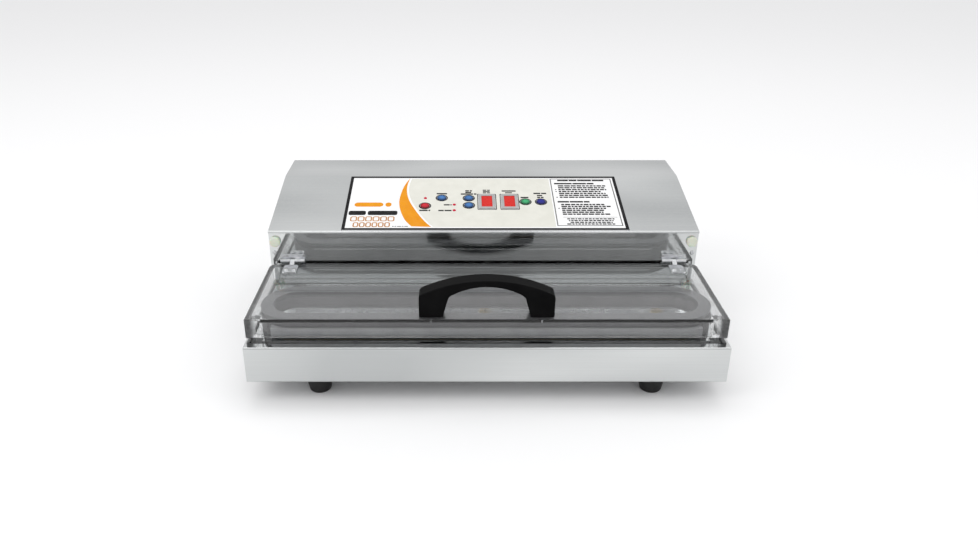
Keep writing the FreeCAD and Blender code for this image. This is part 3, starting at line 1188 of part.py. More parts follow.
for name, (u, v) in BUTTONS.items():
    NODES["button_" + name] = make_button(u, v)
for word, side in (("left", -1), ("right", 1)):
    NODES["side_panel_" + word] = make_side_panel(side)
    NODES["hinge_bracket_" + word] = make_hinge_bracket(side)
    NODES["hinge_strap_" + word] = make_hinge_strap(side)
    NODES["lid_bumper_" + word] = make_bumper(side)
    NODES["pump_block_" + word] = make_pump_block(side)
    NODES["pump_piston_" + word] = make_piston(side)
    for place, d in FOOT_DEPTHS.items():
        NODES["foot_%s_%s" % (place, word)] = make_foot(side, d)

os.makedirs("parts", exist_ok=True)
for name, shape in sorted(NODES.items()):
    solids = shape.Solids
    if len(solids) == 1:
        shape = solids[0]
    if not (shape.isValid() and solids):
        raise ValueError(name + " is not a valid solid")
    shape.exportStep("parts/%s.step" % name)
    print("%-22s %d solid(s) %9.0f mm3" % (name, len(solids), shape.Volume))
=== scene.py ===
# %% [markdown]
# # Dressing a tabletop vacuum sealer
# The sealer's sheet steel, lid, hinges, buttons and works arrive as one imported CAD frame,
# in metres, standing on the floor with its front towards -Y. This file never moves that
# frame. It gives every part its finish, prints the control label, and lights the whole.
# Each step starts with a cell like this one, which says what is being made and why so.

# %% Load the frame
import json
import math
import random

import bmesh
import bpy
from mathutils import Matrix, Vector


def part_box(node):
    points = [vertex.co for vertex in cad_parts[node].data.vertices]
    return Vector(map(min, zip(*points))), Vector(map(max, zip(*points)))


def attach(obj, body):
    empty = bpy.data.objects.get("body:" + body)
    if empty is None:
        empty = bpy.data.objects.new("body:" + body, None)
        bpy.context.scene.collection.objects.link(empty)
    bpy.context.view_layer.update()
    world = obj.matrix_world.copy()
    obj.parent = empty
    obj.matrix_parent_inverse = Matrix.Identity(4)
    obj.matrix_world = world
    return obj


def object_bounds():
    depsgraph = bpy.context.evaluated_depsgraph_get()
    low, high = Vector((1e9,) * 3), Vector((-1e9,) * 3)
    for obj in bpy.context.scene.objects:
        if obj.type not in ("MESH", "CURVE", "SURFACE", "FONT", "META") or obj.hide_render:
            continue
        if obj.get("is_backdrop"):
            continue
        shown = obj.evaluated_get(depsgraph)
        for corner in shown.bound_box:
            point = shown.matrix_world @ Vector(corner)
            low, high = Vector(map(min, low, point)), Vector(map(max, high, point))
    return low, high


MM = 0.001
MICRON = 0.001 * MM

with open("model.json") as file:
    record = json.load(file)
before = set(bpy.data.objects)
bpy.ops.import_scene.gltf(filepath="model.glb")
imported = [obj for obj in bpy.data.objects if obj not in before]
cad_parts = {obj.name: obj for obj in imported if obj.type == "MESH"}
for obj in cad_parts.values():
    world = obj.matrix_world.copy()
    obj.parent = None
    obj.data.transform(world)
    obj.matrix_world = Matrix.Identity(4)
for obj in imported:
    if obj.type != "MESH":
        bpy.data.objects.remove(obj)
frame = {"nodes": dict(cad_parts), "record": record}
cad_low, cad_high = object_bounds()
print("CAD box", [round(v, 4) for v in (*cad_low, *cad_high)])

# %% [markdown]
# ## Camera
# A product shot looks down on the front at a little over a quarter of a right angle. The
# lens is slightly wide, so upright edges lean a little. The camera could be aimed with a
# constraint, but plain numbers are easier to read: a place, one tilt, and no roll. A small
# sideways shift slides the frame across without turning the camera.

# %% Camera
DOWNWARD_TILT = 25.57
LENS, SIDEWAYS_SHIFT = 30.33, 0.0319
CAMERA_X, CAMERA_AHEAD, CAMERA_HEIGHT = -0.029, 0.7051, 0.481

camera = bpy.data.objects.new("product_camera", bpy.data.cameras.new("product_camera"))
bpy.context.scene.collection.objects.link(camera)
camera.data.sensor_width = 36.0
camera.data.lens = LENS
camera.data.shift_x = SIDEWAYS_SHIFT
camera.location = (CAMERA_X, cad_low.y - CAMERA_AHEAD, CAMERA_HEIGHT)
camera.rotation_euler = (math.radians(90.0 - DOWNWARD_TILT), 0.0, 0.0)
bpy.context.scene.camera = camera
print("camera at", tuple(round(v, 3) for v in camera.location))

# %% [markdown]
# ## Room: floor, sky and lamps
# Polished steel has almost no colour of its own: it shows the room. So the room comes first.
# A wide pale floor fills the lower half of every reflection, and a sky that is bright above
# and a little greyer at the horizon fills the upper half. Three big soft lamps shape the
# handle and the rubber. Hard spotlights would leave small burnt dots on the steel.
# Each sky step is a height, from 0 straight down to 1 straight up, and a brightness.

# %% A helper for nodes, and the floor
def place(tree, kind, **settings):
    """Adds one node to a node tree and sets its own options."""
    node = tree.nodes.new(kind)
    for name, value in settings.items():
        setattr(node, name, value)
    return node


def flat_mesh(name, corners):
    """One face through these corners."""
    mesh = bpy.data.meshes.new(name)
    mesh.from_pydata(corners, [], [tuple(range(len(corners)))])
    piece = bpy.data.objects.new(name, mesh)
    bpy.context.scene.collection.objects.link(piece)
    return piece


FLOOR_REACH = 14.0
PALE = 0.92
floor = flat_mesh("studio_floor", [(-FLOOR_REACH, -FLOOR_REACH, 0), (FLOOR_REACH, -FLOOR_REACH, 0),
                                   (FLOOR_REACH, FLOOR_REACH, 0), (-FLOOR_REACH, FLOOR_REACH, 0)])
floor_paint = bpy.data.materials.new("floor_paint")
floor_paint.use_nodes = True
floor_shader = floor_paint.node_tree.nodes["Principled BSDF"]
floor_shader.inputs["Base Color"].default_value = (PALE, PALE, PALE, 1)
floor_shader.inputs["Roughness"].default_value = 0.9
floor_shader.inputs["Specular IOR Level"].default_value = 0.1
floor.data.materials.append(floor_paint)
floor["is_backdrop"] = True
print("floor", 2 * FLOOR_REACH, "m across")

# %% Sky
SKY_STEPS = ((0.0, 0.55), (0.50, 0.76), (0.58, 0.88), (0.72, 0.98), (1.0, 1.05))
SKY_STRENGTH = 0.86

world = bpy.data.worlds.new("studio_sky")
world.use_nodes = True
bpy.context.scene.world = world
sky = world.node_tree
sky_direction = place(sky, "ShaderNodeTexCoord").outputs["Generated"]
sky_height = place(sky, "ShaderNodeSeparateXYZ")
sky_share = place(sky, "ShaderNodeMapRange")
sky_share.inputs["From Min"].default_value = -1.0
sky_ramp = place(sky, "ShaderNodeValToRGB")
sky.links.new(sky_direction, sky_height.inputs[0])
sky.links.new(sky_height.outputs["Z"], sky_share.inputs["Value"])
sky.links.new(sky_share.outputs[0], sky_ramp.inputs[0])
sky.links.new(sky_ramp.outputs[0], sky.nodes["Background"].inputs["Color"])
while len(sky_ramp.color_ramp.elements) < len(SKY_STEPS):
    sky_ramp.color_ramp.elements.new(0.5)
for stop, (height, brightness) in zip(sky_ramp.color_ramp.elements, SKY_STEPS):
    stop.position = height
    stop.color = (brightness, brightness, brightness * 1.01, 1)
sky.nodes["Background"].inputs["Strength"].default_value = SKY_STRENGTH
print("sky", len(SKY_STEPS), "steps")

# %% Lamps
centre = (cad_low + cad_high) / 2


def softbox(name, where, width, height, watts):
    """A large area lamp that faces the middle of the machine."""
    lamp = bpy.data.objects.new(name, bpy.data.lights.new(name, "AREA"))
    bpy.context.scene.collection.objects.link(lamp)
    lamp.data.shape = "RECTANGLE"
    lamp.data.size, lamp.data.size_y = width, height
    lamp.data.energy = watts
    lamp.location = centre + Vector(where)
    lamp.rotation_euler = (centre - lamp.location).to_track_quat("-Z", "Y").to_euler()
    return lamp


softbox("softbox_left", (-1.6, -1.0, 1.6), 1.2, 1.2, 10)
softbox("softbox_right", (1.7, -0.6, 1.3), 1.0, 1.4, 4)
softbox("softbox_above", (0.0, 0.5, 2.0), 2.0, 0.8, 8)
bpy.context.scene.view_settings.view_transform = "Standard"
print("3 softboxes round", [round(v, 3) for v in centre])

# %% [markdown]
# ## Shared effects as node groups
# Real finishes are never even. Sheet edges wear bright, rolled steel has a faint lengthwise
# grain, fingers leave film, and mouldings carry a fine texture. Several materials need the
# same effect with other numbers, so each effect is a node group: built once, with named
# inputs, and placed wherever it is wanted. A group gives out only masks, heights or normals.

# %% Building a group
def new_effect(name, takes, gives):
    """An empty node group with named inputs (title, kind, start value) and outputs."""
    group = bpy.data.node_groups.new(name, "ShaderNodeTree")
    for title, kind, start in takes:
        socket = group.interface.new_socket(title, in_out="INPUT", socket_type="NodeSocket" + kind)
        if start is not None:
            socket.default_value = start
    for title, kind in gives:
        group.interface.new_socket(title, in_out="OUTPUT", socket_type="NodeSocket" + kind)
    return group, place(group, "NodeGroupInput").outputs, place(group, "NodeGroupOutput").inputs


def feed(tree, value, socket):
    """Links a socket to a socket, or sets the socket to a plain value."""
    if isinstance(value, bpy.types.NodeSocket):
        tree.links.new(value, socket)
    else:
        socket.default_value = value


def sum_up(tree, operation, first, second=0.0, clamp=False):
    """One Math node."""
    node = place(tree, "ShaderNodeMath", operation=operation, use_clamp=clamp)
    feed(tree, first, node.inputs[0])
    feed(tree, second, node.inputs[1])
    return node.outputs[0]


def stretch(tree, vector, factors):
    """Scales a position by a factor along each axis."""
    node = place(tree, "ShaderNodeVectorMath", operation="MULTIPLY")
    feed(tree, vector, node.inputs[0])
    feed(tree, factors, node.inputs[1])
    return node.outputs[0]


def noise(tree, vector, scale, detail=2.0, roughness=0.5):
    """The value of a Noise Texture, about 0.3 to 0.7."""
    node = place(tree, "ShaderNodeTexNoise")
    for title, value in (("Vector", vector), ("Scale", scale), ("Detail", detail), ("Roughness", roughness)):
        feed(tree, value, node.inputs[title])
    return node.outputs["Fac"]


def remap(tree, value, low, high, to_low=0.0, to_high=1.0):
    """Moves a value from one range to another and stops at the ends."""
    node = place(tree, "ShaderNodeMapRange")
    for title, number in (("Value", value), ("From Min", low), ("From Max", high),
                          ("To Min", to_low), ("To Max", to_high)):
        feed(tree, number, node.inputs[title])
    return node.outputs[0]


print("helpers ready")

# %% [markdown]
# ### Soft edges and wear
# No real edge is perfectly sharp, and the small round along it catches a line of light. The
# Bevel node looks at nearby faces and bends the normal there, which rounds an edge without
# touching the mesh. Where the bent normal leaves the true one, the point is near an edge,
# and that makes a wear mask too. A noise breaks the mask, because wear is patchy.

# %% Edge effect
edge_effect, taken, given = new_effect(
    "edge_round_and_wear",
    [("Radius", "Float", 0.6 * MM), ("Vector", "Vector", None), ("Patch Size", "Float", 60.0)],
    [("Normal", "Vector"), ("Wear", "Float")])
rounded = place(edge_effect, "ShaderNodeBevel", samples=4)
true_face = place(edge_effect, "ShaderNodeNewGeometry")
closeness = place(edge_effect, "ShaderNodeVectorMath", operation="DOT_PRODUCT")
edge_effect.links.new(taken["Radius"], rounded.inputs["Radius"])
edge_effect.links.new(rounded.outputs[0], closeness.inputs[0])
edge_effect.links.new(true_face.outputs["Normal"], closeness.inputs[1])
edge_mask = remap(edge_effect, closeness.outputs["Value"], 0.995, 0.80)
patches = remap(edge_effect, noise(edge_effect, taken["Vector"], taken["Patch Size"], 3.0), 0.38, 0.62, 0.25)
edge_effect.links.new(rounded.outputs[0], given["Normal"])
edge_effect.links.new(sum_up(edge_effect, "MULTIPLY", edge_mask, patches, clamp=True), given["Wear"])
print("effect", edge_effect.name)

# %% [markdown]
# ### Grain of rolled steel
# Polishing belts run along a sheet and leave hair-fine lines. A noise squeezed across the
# sheet and drawn out along it gives just that: short in one direction, long in the other.
# The same pattern drives a whisper of bump and a slight change of colour and roughness.

# %% Belt grain effect
grain_effect, taken, given = new_effect(
    "belt_grain",
    [("Vector", "Vector", None), ("Along", "Vector", (6.0, 900.0, 900.0)), ("Scale", "Float", 1.0)],
    [("Height", "Float"), ("Streaks", "Float")])
drawn_out = stretch(grain_effect, taken["Vector"], taken["Along"])
hairs = noise(grain_effect, drawn_out, taken["Scale"], 2.0, 0.6)
grain_effect.links.new(hairs, given["Height"])
grain_effect.links.new(remap(grain_effect, hairs, 0.35, 0.65), given["Streaks"])
print("effect", grain_effect.name)

# %% [markdown]
# ### Polish drift and handling film
# A polished sheet is never equally bright all over: the wheel presses harder here than there,
# and hands leave a thin film. Both are slow, cloudy changes. One group makes both, a very
# large cloud for the polish and a smaller, smeared one for the film.

# %% Polish effect
polish_effect, taken, given = new_effect(
    "polish_and_film",
    [("Vector", "Vector", None), ("Cloud Size", "Float", 5.0), ("Smear Size", "Float", 28.0)],
    [("Drift", "Float"), ("Film", "Float")])
wide_cloud = noise(polish_effect, stretch(polish_effect, taken["Vector"], (1.0, 2.2, 2.2)),
                   taken["Cloud Size"], 1.0, 0.4)
smears = noise(polish_effect, taken["Vector"], taken["Smear Size"], 4.0, 0.62)
polish_effect.links.new(remap(polish_effect, wide_cloud, 0.32, 0.68), given["Drift"])
polish_effect.links.new(remap(polish_effect, smears, 0.46, 0.70), given["Film"])
print("effect", polish_effect.name)

# %% [markdown]
# ### Texture of mouldings
# Moulded plastic and rubber copy the spark-eroded skin of their tool: tiny even pits. A
# Voronoi pattern gives the pits and a fine noise keeps them from looking like a net.

# %% Moulded skin effect
skin_effect, taken, given = new_effect(
    "moulded_skin",
    [("Vector", "Vector", None), ("Pit Scale", "Float", 1600.0), ("Cloud Size", "Float", 40.0)],
    [("Height", "Float"), ("Mottle", "Float")])
pits = place(skin_effect, "ShaderNodeTexVoronoi", feature="SMOOTH_F1")
skin_effect.links.new(taken["Vector"], pits.inputs["Vector"])
skin_effect.links.new(taken["Pit Scale"], pits.inputs["Scale"])
fine = noise(skin_effect, taken["Vector"], taken["Pit Scale"], 2.0, 0.6)
skin_effect.links.new(sum_up(skin_effect, "ADD", pits.outputs["Distance"], fine), given["Height"])
cloud = noise(skin_effect, taken["Vector"], taken["Cloud Size"], 3.0, 0.55)
skin_effect.links.new(remap(skin_effect, cloud, 0.35, 0.65), given["Mottle"])
print("effect", skin_effect.name)

# %% [markdown]
# ### Settled dust, and painted light on upward faces
# Dust lies where a face looks up and nowhere else. The mask is the upward part of the
# normal, broken by noise, and each material adds a tenth of it at the most. The unbroken
# mask is given out too, for a moulding whose upward faces are painted paler: painted light,
# where the light from above falls.

# %% Dust effect
dust_and_lit_top_effect, taken, given = new_effect(
    "settled_dust_and_lit_top", [("Vector", "Vector", None), ("Speck Scale", "Float", 220.0)],
    [("Dust", "Float"), ("Top", "Float")])
facing = place(dust_and_lit_top_effect, "ShaderNodeSeparateXYZ")
dust_and_lit_top_effect.links.new(place(dust_and_lit_top_effect, "ShaderNodeNewGeometry").outputs["Normal"], facing.inputs[0])
looks_up = remap(dust_and_lit_top_effect, facing.outputs["Z"], 0.3, 0.95)
specks = remap(dust_and_lit_top_effect, noise(dust_and_lit_top_effect, taken["Vector"], taken["Speck Scale"], 4.0, 0.7), 0.48, 0.75)
dust_and_lit_top_effect.links.new(sum_up(dust_and_lit_top_effect, "MULTIPLY", looks_up, specks), given["Dust"])
dust_and_lit_top_effect.links.new(looks_up, given["Top"])
print("effect", dust_and_lit_top_effect.name)

# %% [markdown]
# ## Finishes
# A finish starts from one Principled shader. Numbers that are the same all over go straight
# on its sockets; patterns come from the groups. `start_finish` opens a material, `use` places
# a group in it, and `dress` hands the finished material to every CAD part of that slot.

# %% Opening a finish
def start_finish(name, **sockets):
    """A new material: its tree, its shader, and the part's own position in space."""
    material = bpy.data.materials.new(name)
    material.use_nodes = True
    tree = material.node_tree
    shader = tree.nodes["Principled BSDF"]
    for title, value in sockets.items():
        shader.inputs[title.replace("_", " ")].default_value = value
    return material, tree, shader, place(tree, "ShaderNodeTexCoord").outputs["Object"]


def use(tree, effect, position, **values):
    """Places a group in a material with its own values and returns its outputs."""
    node = place(tree, "ShaderNodeGroup", node_tree=effect)
    tree.links.new(position, node.inputs["Vector"])
    for title, value in values.items():
        node.inputs[title.replace("_", " ")].default_value = value
    return node.outputs


def blend_colours(tree, share, first, second):
    """A colour between two colours, by a mask."""
    node = place(tree, "ShaderNodeMix", data_type="RGBA")
    feed(tree, share, node.inputs["Factor"])
    for value, socket in ((first, node.inputs[6]), (second, node.inputs[7])):
        feed(tree, value if isinstance(value, bpy.types.NodeSocket) else (*value, 1.0), socket)
    return node.outputs[2]


def raise_bump(tree, shader, height, microns, normal=None):
    """A Bump node of that depth in microns, on top of an optional rounded normal."""
    bump = place(tree, "ShaderNodeBump")
    bump.inputs["Distance"].default_value = microns * MICRON
    tree.links.new(height, bump.inputs["Height"])
    if normal is not None:
        tree.links.new(normal, bump.inputs["Normal"])
    tree.links.new(bump.outputs[0], shader.inputs["Normal"])


finish_of = {}


def dress(slot, material):
    """Gives the material to every CAD part that the record files under this slot."""
    finish_of[slot] = material
    dressed = [row["node"] for row in frame["record"]["subparts"] if row["material_slot"] == slot]
    for node in dressed:
        for place_for_material in frame["nodes"][node].material_slots:
            place_for_material.material = material
    print(slot, "->", ", ".join(dressed))


# %% [markdown]
# ### Steel sheet
# The case is bright polished stainless, the trough a satin pressing, and the back and
# floor plates plainer still. One function makes all of them, because they differ only in
# brightness, gloss and the depth of the grain.

# %% Steel sheet
GRAIN_GREY, DUST_GREY, RUBBED_BRIGHT = (0.40, 0.41, 0.42), (0.78, 0.77, 0.74), (0.93, 0.93, 0.92)


def steel_sheet(name, dull, bright, gloss_low, gloss_high, microns):
    """Belt-polished sheet: drifting brightness, film, fine grain, and bright rubbed edges."""
    material, tree, shader, position = start_finish(name, Metallic=1.0)
    edge = use(tree, edge_effect, position, Radius=0.7 * MM)
    grain = use(tree, grain_effect, position)
    polish = use(tree, polish_effect, position)
    dust = use(tree, dust_and_lit_top_effect, position)
    colour = blend_colours(tree, polish["Drift"], dull, bright)
    for mask, share, tone in ((grain["Streaks"], 0.10, GRAIN_GREY), (dust["Dust"], 0.10, DUST_GREY),
                              (edge["Wear"], 0.45, RUBBED_BRIGHT)):
        colour = blend_colours(tree, sum_up(tree, "MULTIPLY", mask, share), colour, tone)
    tree.links.new(colour, shader.inputs["Base Color"])
    gloss = remap(tree, polish["Film"], 0.0, 1.0, gloss_low, gloss_high)
    gloss = sum_up(tree, "ADD", gloss, sum_up(tree, "MULTIPLY", grain["Streaks"], 0.02))
    tree.links.new(gloss, shader.inputs["Roughness"])
    raise_bump(tree, shader, grain["Height"], microns, edge["Normal"])
    return material


dress("polished_steel", steel_sheet("bright_polished_sheet", (0.51, 0.525, 0.525), (0.69, 0.705, 0.70),
                                    0.035, 0.085, 0.4))
dress("trough_steel", steel_sheet("satin_trough_sheet", (0.68, 0.69, 0.70), (0.80, 0.81, 0.82),
                                  0.24, 0.32, 1.0))
dress("back_steel", steel_sheet("plain_back_sheet", (0.50, 0.51, 0.52), (0.58, 0.59, 0.60),
                                0.28, 0.36, 8.0))

# %% [markdown]
# ### Bright small metal
# Hinges, screws, the fan guard, the pump and the fittings are plated, cast or turned. Their
# grain is too small to follow a belt, so a fine moulded-skin pattern stands for plating and
# casting skin, and darker film gathers in the mottles.

# %% Small metal
def small_metal(name, dull, bright, gloss, skin_scale, microns):
    """Plated, turned or cast metal, mottled, with rubbed edges."""
    material, tree, shader, position = start_finish(name, Metallic=1.0)
    edge = use(tree, edge_effect, position, Radius=0.4 * MM, Patch_Size=180.0)
    skin = use(tree, skin_effect, position, Pit_Scale=skin_scale, Cloud_Size=120.0)
    colour = blend_colours(tree, skin["Mottle"], dull, bright)
    worn = sum_up(tree, "MULTIPLY", edge["Wear"], 0.5)
    tree.links.new(blend_colours(tree, worn, colour, (0.95, 0.95, 0.94)), shader.inputs["Base Color"])
    tree.links.new(remap(tree, skin["Mottle"], 0.0, 1.0, gloss + 0.08, gloss), shader.inputs["Roughness"])
    raise_bump(tree, shader, skin["Height"], microns, edge["Normal"])
    return material


# slot, finish, dull colour, bright colour, gloss, skin scale, skin depth in microns
SMALL_METALS = (
    ("hinge_steel", "plated_hinge", (0.62, 0.63, 0.65), (0.80, 0.81, 0.82), 0.14, 2400.0, 4.0),
    ("screw_steel", "plated_screw", (0.55, 0.56, 0.57), (0.74, 0.75, 0.76), 0.18, 3000.0, 4.0),
    ("guard_wire", "plated_wire", (0.58, 0.59, 0.60), (0.76, 0.77, 0.78), 0.16, 3000.0, 3.0),
    ("shaft_steel", "ground_shaft", (0.48, 0.49, 0.50), (0.62, 0.63, 0.64), 0.24, 2600.0, 4.0),
    ("pump_alloy", "cast_pump_alloy", (0.50, 0.51, 0.52), (0.64, 0.65, 0.66), 0.40, 900.0, 50.0),
    ("port_brass", "turned_brass", (0.55, 0.42, 0.20), (0.76, 0.60, 0.30), 0.22, 2200.0, 5.0),
    ("heater_alloy", "heater_ribbon", (0.42, 0.39, 0.36), (0.58, 0.55, 0.51), 0.30, 2600.0, 4.0),
    ("winding_copper", "enamelled_winding", (0.40, 0.15, 0.05), (0.70, 0.32, 0.12), 0.28, 500.0, 200.0),
)
for metal_slot, *look in SMALL_METALS:
    dress(metal_slot, small_metal(*look))

# %% [markdown]
# ### Mouldings and rubber
# The handle, feet, gaskets, bar and small plastic parts are one family again: a body colour
# that wanders a little, a fine skin, and edges that handling has rubbed a shade paler.
# Soft rubber gets a deeper skin and less gloss than hard plastic.

# %% Moulding
def moulding(name, dark, light, gloss, skin_scale, microns, worn, dust_share=0.05, top=None, **sockets):
    """Moulded plastic or rubber; worn is the colour of its rubbed edges, top the paler colour painted on its
    upward faces as painted light.
    """
    material, tree, shader, position = start_finish(name, **sockets)
    edge = use(tree, edge_effect, position, Radius=0.8 * MM, Patch_Size=90.0)
    skin = use(tree, skin_effect, position, Pit_Scale=skin_scale)
    dust = use(tree, dust_and_lit_top_effect, position)
    colour = blend_colours(tree, skin["Mottle"], dark, light)
    # Painted light: upward faces are painted paler, where light from above falls on them.
    if top:
        colour = blend_colours(tree, dust["Top"], colour, top)
    colour = blend_colours(tree, sum_up(tree, "MULTIPLY", edge["Wear"], 0.4), colour, worn)
    settled = sum_up(tree, "MULTIPLY", dust["Dust"], dust_share)
    tree.links.new(blend_colours(tree, settled, colour, (0.55, 0.54, 0.52)), shader.inputs["Base Color"])
    uneven = remap(tree, skin["Mottle"], 0.0, 1.0, gloss - 0.04, gloss + 0.05)
    tree.links.new(uneven, shader.inputs["Roughness"])
    raise_bump(tree, shader, skin["Height"], microns, edge["Normal"])
    return material


dress("handle_black", moulding("satin_black_handle", (0.0030, 0.0030, 0.0032), (0.0060, 0.0060, 0.0062),
                               0.50, 1500.0, 20.0, (0.012, 0.012, 0.012), 0.004, Specular_IOR_Level=0.03))
dress("foot_rubber", moulding("black_foot_rubber", (0.010, 0.010, 0.010), (0.020, 0.020, 0.020),
                              0.52, 1200.0, 50.0, (0.05, 0.05, 0.05), Specular_IOR_Level=0.3))
# Painted light: the carrier's upward faces are painted paler, and its pale rubbed edges are part wear, part
# painted highlight.
dress("carrier_grey", moulding("grey_carrier", (0.050, 0.050, 0.052), (0.070, 0.070, 0.073),
                               0.42, 1400.0, 30.0, (0.60, 0.60, 0.61), top=(0.085, 0.085, 0.088)))
dress("gasket_rubber", moulding("foam_gasket", (0.085, 0.083, 0.085), (0.125, 0.122, 0.125),
                                0.72, 700.0, 250.0, (0.18, 0.18, 0.18)))
dress("silicone_grey", moulding("pressure_silicone", (0.22, 0.22, 0.225), (0.28, 0.28, 0.285),
                                0.50, 1500.0, 30.0, (0.40, 0.40, 0.40)))
dress("seal_bar_black", moulding("bar_laminate", (0.018, 0.018, 0.018), (0.030, 0.030, 0.030),
                                 0.46, 1100.0, 40.0, (0.10, 0.10, 0.10)))
dress("part_black", moulding("black_part_plastic", (0.014, 0.014, 0.015), (0.026, 0.026, 0.027),
                             0.40, 1500.0, 30.0, (0.07, 0.07, 0.07)))
dress("motor_steel", moulding("black_motor_coat", (0.018, 0.018, 0.020), (0.032, 0.032, 0.034),
                              0.44, 900.0, 50.0, (0.30, 0.30, 0.30)))
dress("core_steel", moulding("varnished_core", (0.050, 0.048, 0.048), (0.085, 0.082, 0.080),
                             0.45, 800.0, 60.0, (0.30, 0.29, 0.28)))
dress("post_nylon", moulding("nylon_post", (0.62, 0.62, 0.58), (0.72, 0.72, 0.68),
                             0.42, 1500.0, 20.0, (0.80, 0.80, 0.76)))
dress("board_green", moulding("circuit_board", (0.010, 0.075, 0.035), (0.018, 0.120, 0.055),
                              0.34, 900.0, 30.0, (0.35, 0.33, 0.18)))
dress("bezel_grey", moulding("display_bezel", (0.36, 0.365, 0.36), (0.44, 0.445, 0.44),
                             0.34, 1800.0, 10.0, (0.56, 0.56, 0.55), Specular_IOR_Level=0.2))

# %% [markdown]
# ### Nylon bumpers and silicone hose
# Both let light sink in and come out again, so they look soft from inside. Subsurface
# scattering does that; painting them plain white would look like chalk.

# %% Nylon and hose
dress("bumper_nylon", moulding("milky_nylon", (0.66, 0.70, 0.58), (0.76, 0.80, 0.68), 0.34, 1400.0, 20.0,
                               (0.86, 0.88, 0.80), Subsurface_Weight=0.35, Subsurface_Scale=0.004))
dress("hose_clear", moulding("silicone_hose", (0.42, 0.44, 0.43), (0.52, 0.54, 0.53), 0.30, 1200.0, 20.0,
                             (0.62, 0.63, 0.62), Subsurface_Weight=0.4, Subsurface_Scale=0.003))

# %% [markdown]
# ### Coated glass cloth
# The tape over the heating strip is woven glass with a non-stick coat, so it has a fine
# crossed weave. Two Wave textures at right angles, multiplied, give the little squares.

# %% Glass-cloth tape
tape, tree, shader, position = start_finish("glass_cloth_tape", Specular_IOR_Level=0.6)
threads = []
for direction in ("X", "Y"):
    wave = place(tree, "ShaderNodeTexWave", bands_direction=direction)
    wave.inputs["Scale"].default_value = 260.0
    wave.inputs["Distortion"].default_value = 0.4
    tree.links.new(position, wave.inputs["Vector"])
    threads.append(wave.outputs["Fac"])
weave = sum_up(tree, "MULTIPLY", *threads)
tape_skin = use(tree, skin_effect, position, Pit_Scale=900.0, Cloud_Size=60.0)
woven = blend_colours(tree, weave, (0.36, 0.27, 0.16), (0.50, 0.40, 0.26))
woven = blend_colours(tree, sum_up(tree, "MULTIPLY", tape_skin["Mottle"], 0.3), woven, (0.30, 0.22, 0.13))
tree.links.new(woven, shader.inputs["Base Color"])
tree.links.new(remap(tree, weave, 0.0, 1.0, 0.48, 0.36), shader.inputs["Roughness"])
raise_bump(tree, shader, weave, 30.0)
dress("tape_tan", tape)

# %% [markdown]
# ### The clear lid
# The lid is one thick moulding of clear plastic. Glass keeps plain Metallic and Transmission
# on its shader; its tint, roughness and bump are patterned. Film and flow marks run all over.
# The front ends of the side walls are pebbled, and their grey tint is painted shade that stands
# in for the dark view refracted through them. The lowest rim, just over the deck, is painted
# near-black, a painted shade, so it pipes no light from the top edge down to the gap. Both places
# are masks made from the part's own position.
#
# Path-traced light through thick plastic leaves the parts below too dark, so for shadow rays
# the glass is swapped for a Transparent shader: lamps then shine through it.

# %% Clear plastic
lid_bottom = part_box("lid_shell")[0].z
side_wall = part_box("gasket_carrier")[1].x
RIM_HEIGHT = 0.7 * MM
PEBBLE_GLOSS, PEBBLE_RISE = 0.50, 20.0
CLEAR_TINT, FILM_TINT = (0.982, 0.988, 0.990), (0.965, 0.972, 0.974)
# Painted shade: a grey tint for the pebbled wall ends and a near-black tint for the lowest rim.
PEBBLE_PAINTED_SHADE_TINT, RIM_PAINTED_SHADE_TINT = (0.55, 0.56, 0.57), (0.03, 0.03, 0.03)

clear, tree, shader, position = start_finish("clear_lid_plastic", Metallic=0.0,
                                             Transmission_Weight=1.0, IOR=1.50)
film = use(tree, polish_effect, position, Cloud_Size=9.0, Smear_Size=34.0)
flow = use(tree, edge_effect, position, Radius=0.9 * MM)
pebble = use(tree, skin_effect, position, Pit_Scale=700.0, Cloud_Size=320.0)
where, faces = place(tree, "ShaderNodeSeparateXYZ"), place(tree, "ShaderNodeSeparateXYZ")
tree.links.new(position, where.inputs[0])
tree.links.new(place(tree, "ShaderNodeTexCoord").outputs["Normal"], faces.inputs[0])
from_side = sum_up(tree, "ABSOLUTE", where.outputs["X"])
wall_end = sum_up(tree, "MULTIPLY", sum_up(tree, "GREATER_THAN", from_side, side_wall),
                  remap(tree, faces.outputs["Y"], -0.6, -0.9))
rim = remap(tree, where.outputs["Z"], lid_bottom + RIM_HEIGHT, lid_bottom + RIM_HEIGHT / 2)
tint = blend_colours(tree, sum_up(tree, "MULTIPLY", film["Film"], 0.4), CLEAR_TINT, FILM_TINT)
# Painted shade: the pebbled wall ends are tinted grey, and the lowest rim is tinted near-black.
tint = blend_colours(tree, sum_up(tree, "MULTIPLY", wall_end, pebble["Mottle"]), tint, PEBBLE_PAINTED_SHADE_TINT)
tree.links.new(blend_colours(tree, rim, tint, RIM_PAINTED_SHADE_TINT), shader.inputs["Base Color"])
gloss = remap(tree, film["Film"], 0.0, 1.0, 0.012, 0.045)
gloss = sum_up(tree, "ADD", gloss, sum_up(tree, "MULTIPLY", wall_end, PEBBLE_GLOSS))
tree.links.new(gloss, shader.inputs["Roughness"])
pebbles = sum_up(tree, "MULTIPLY", sum_up(tree, "MULTIPLY", wall_end, pebble["Height"]), PEBBLE_RISE)
raise_bump(tree, shader, sum_up(tree, "ADD", film["Drift"], pebbles), 20.0, flow["Normal"])

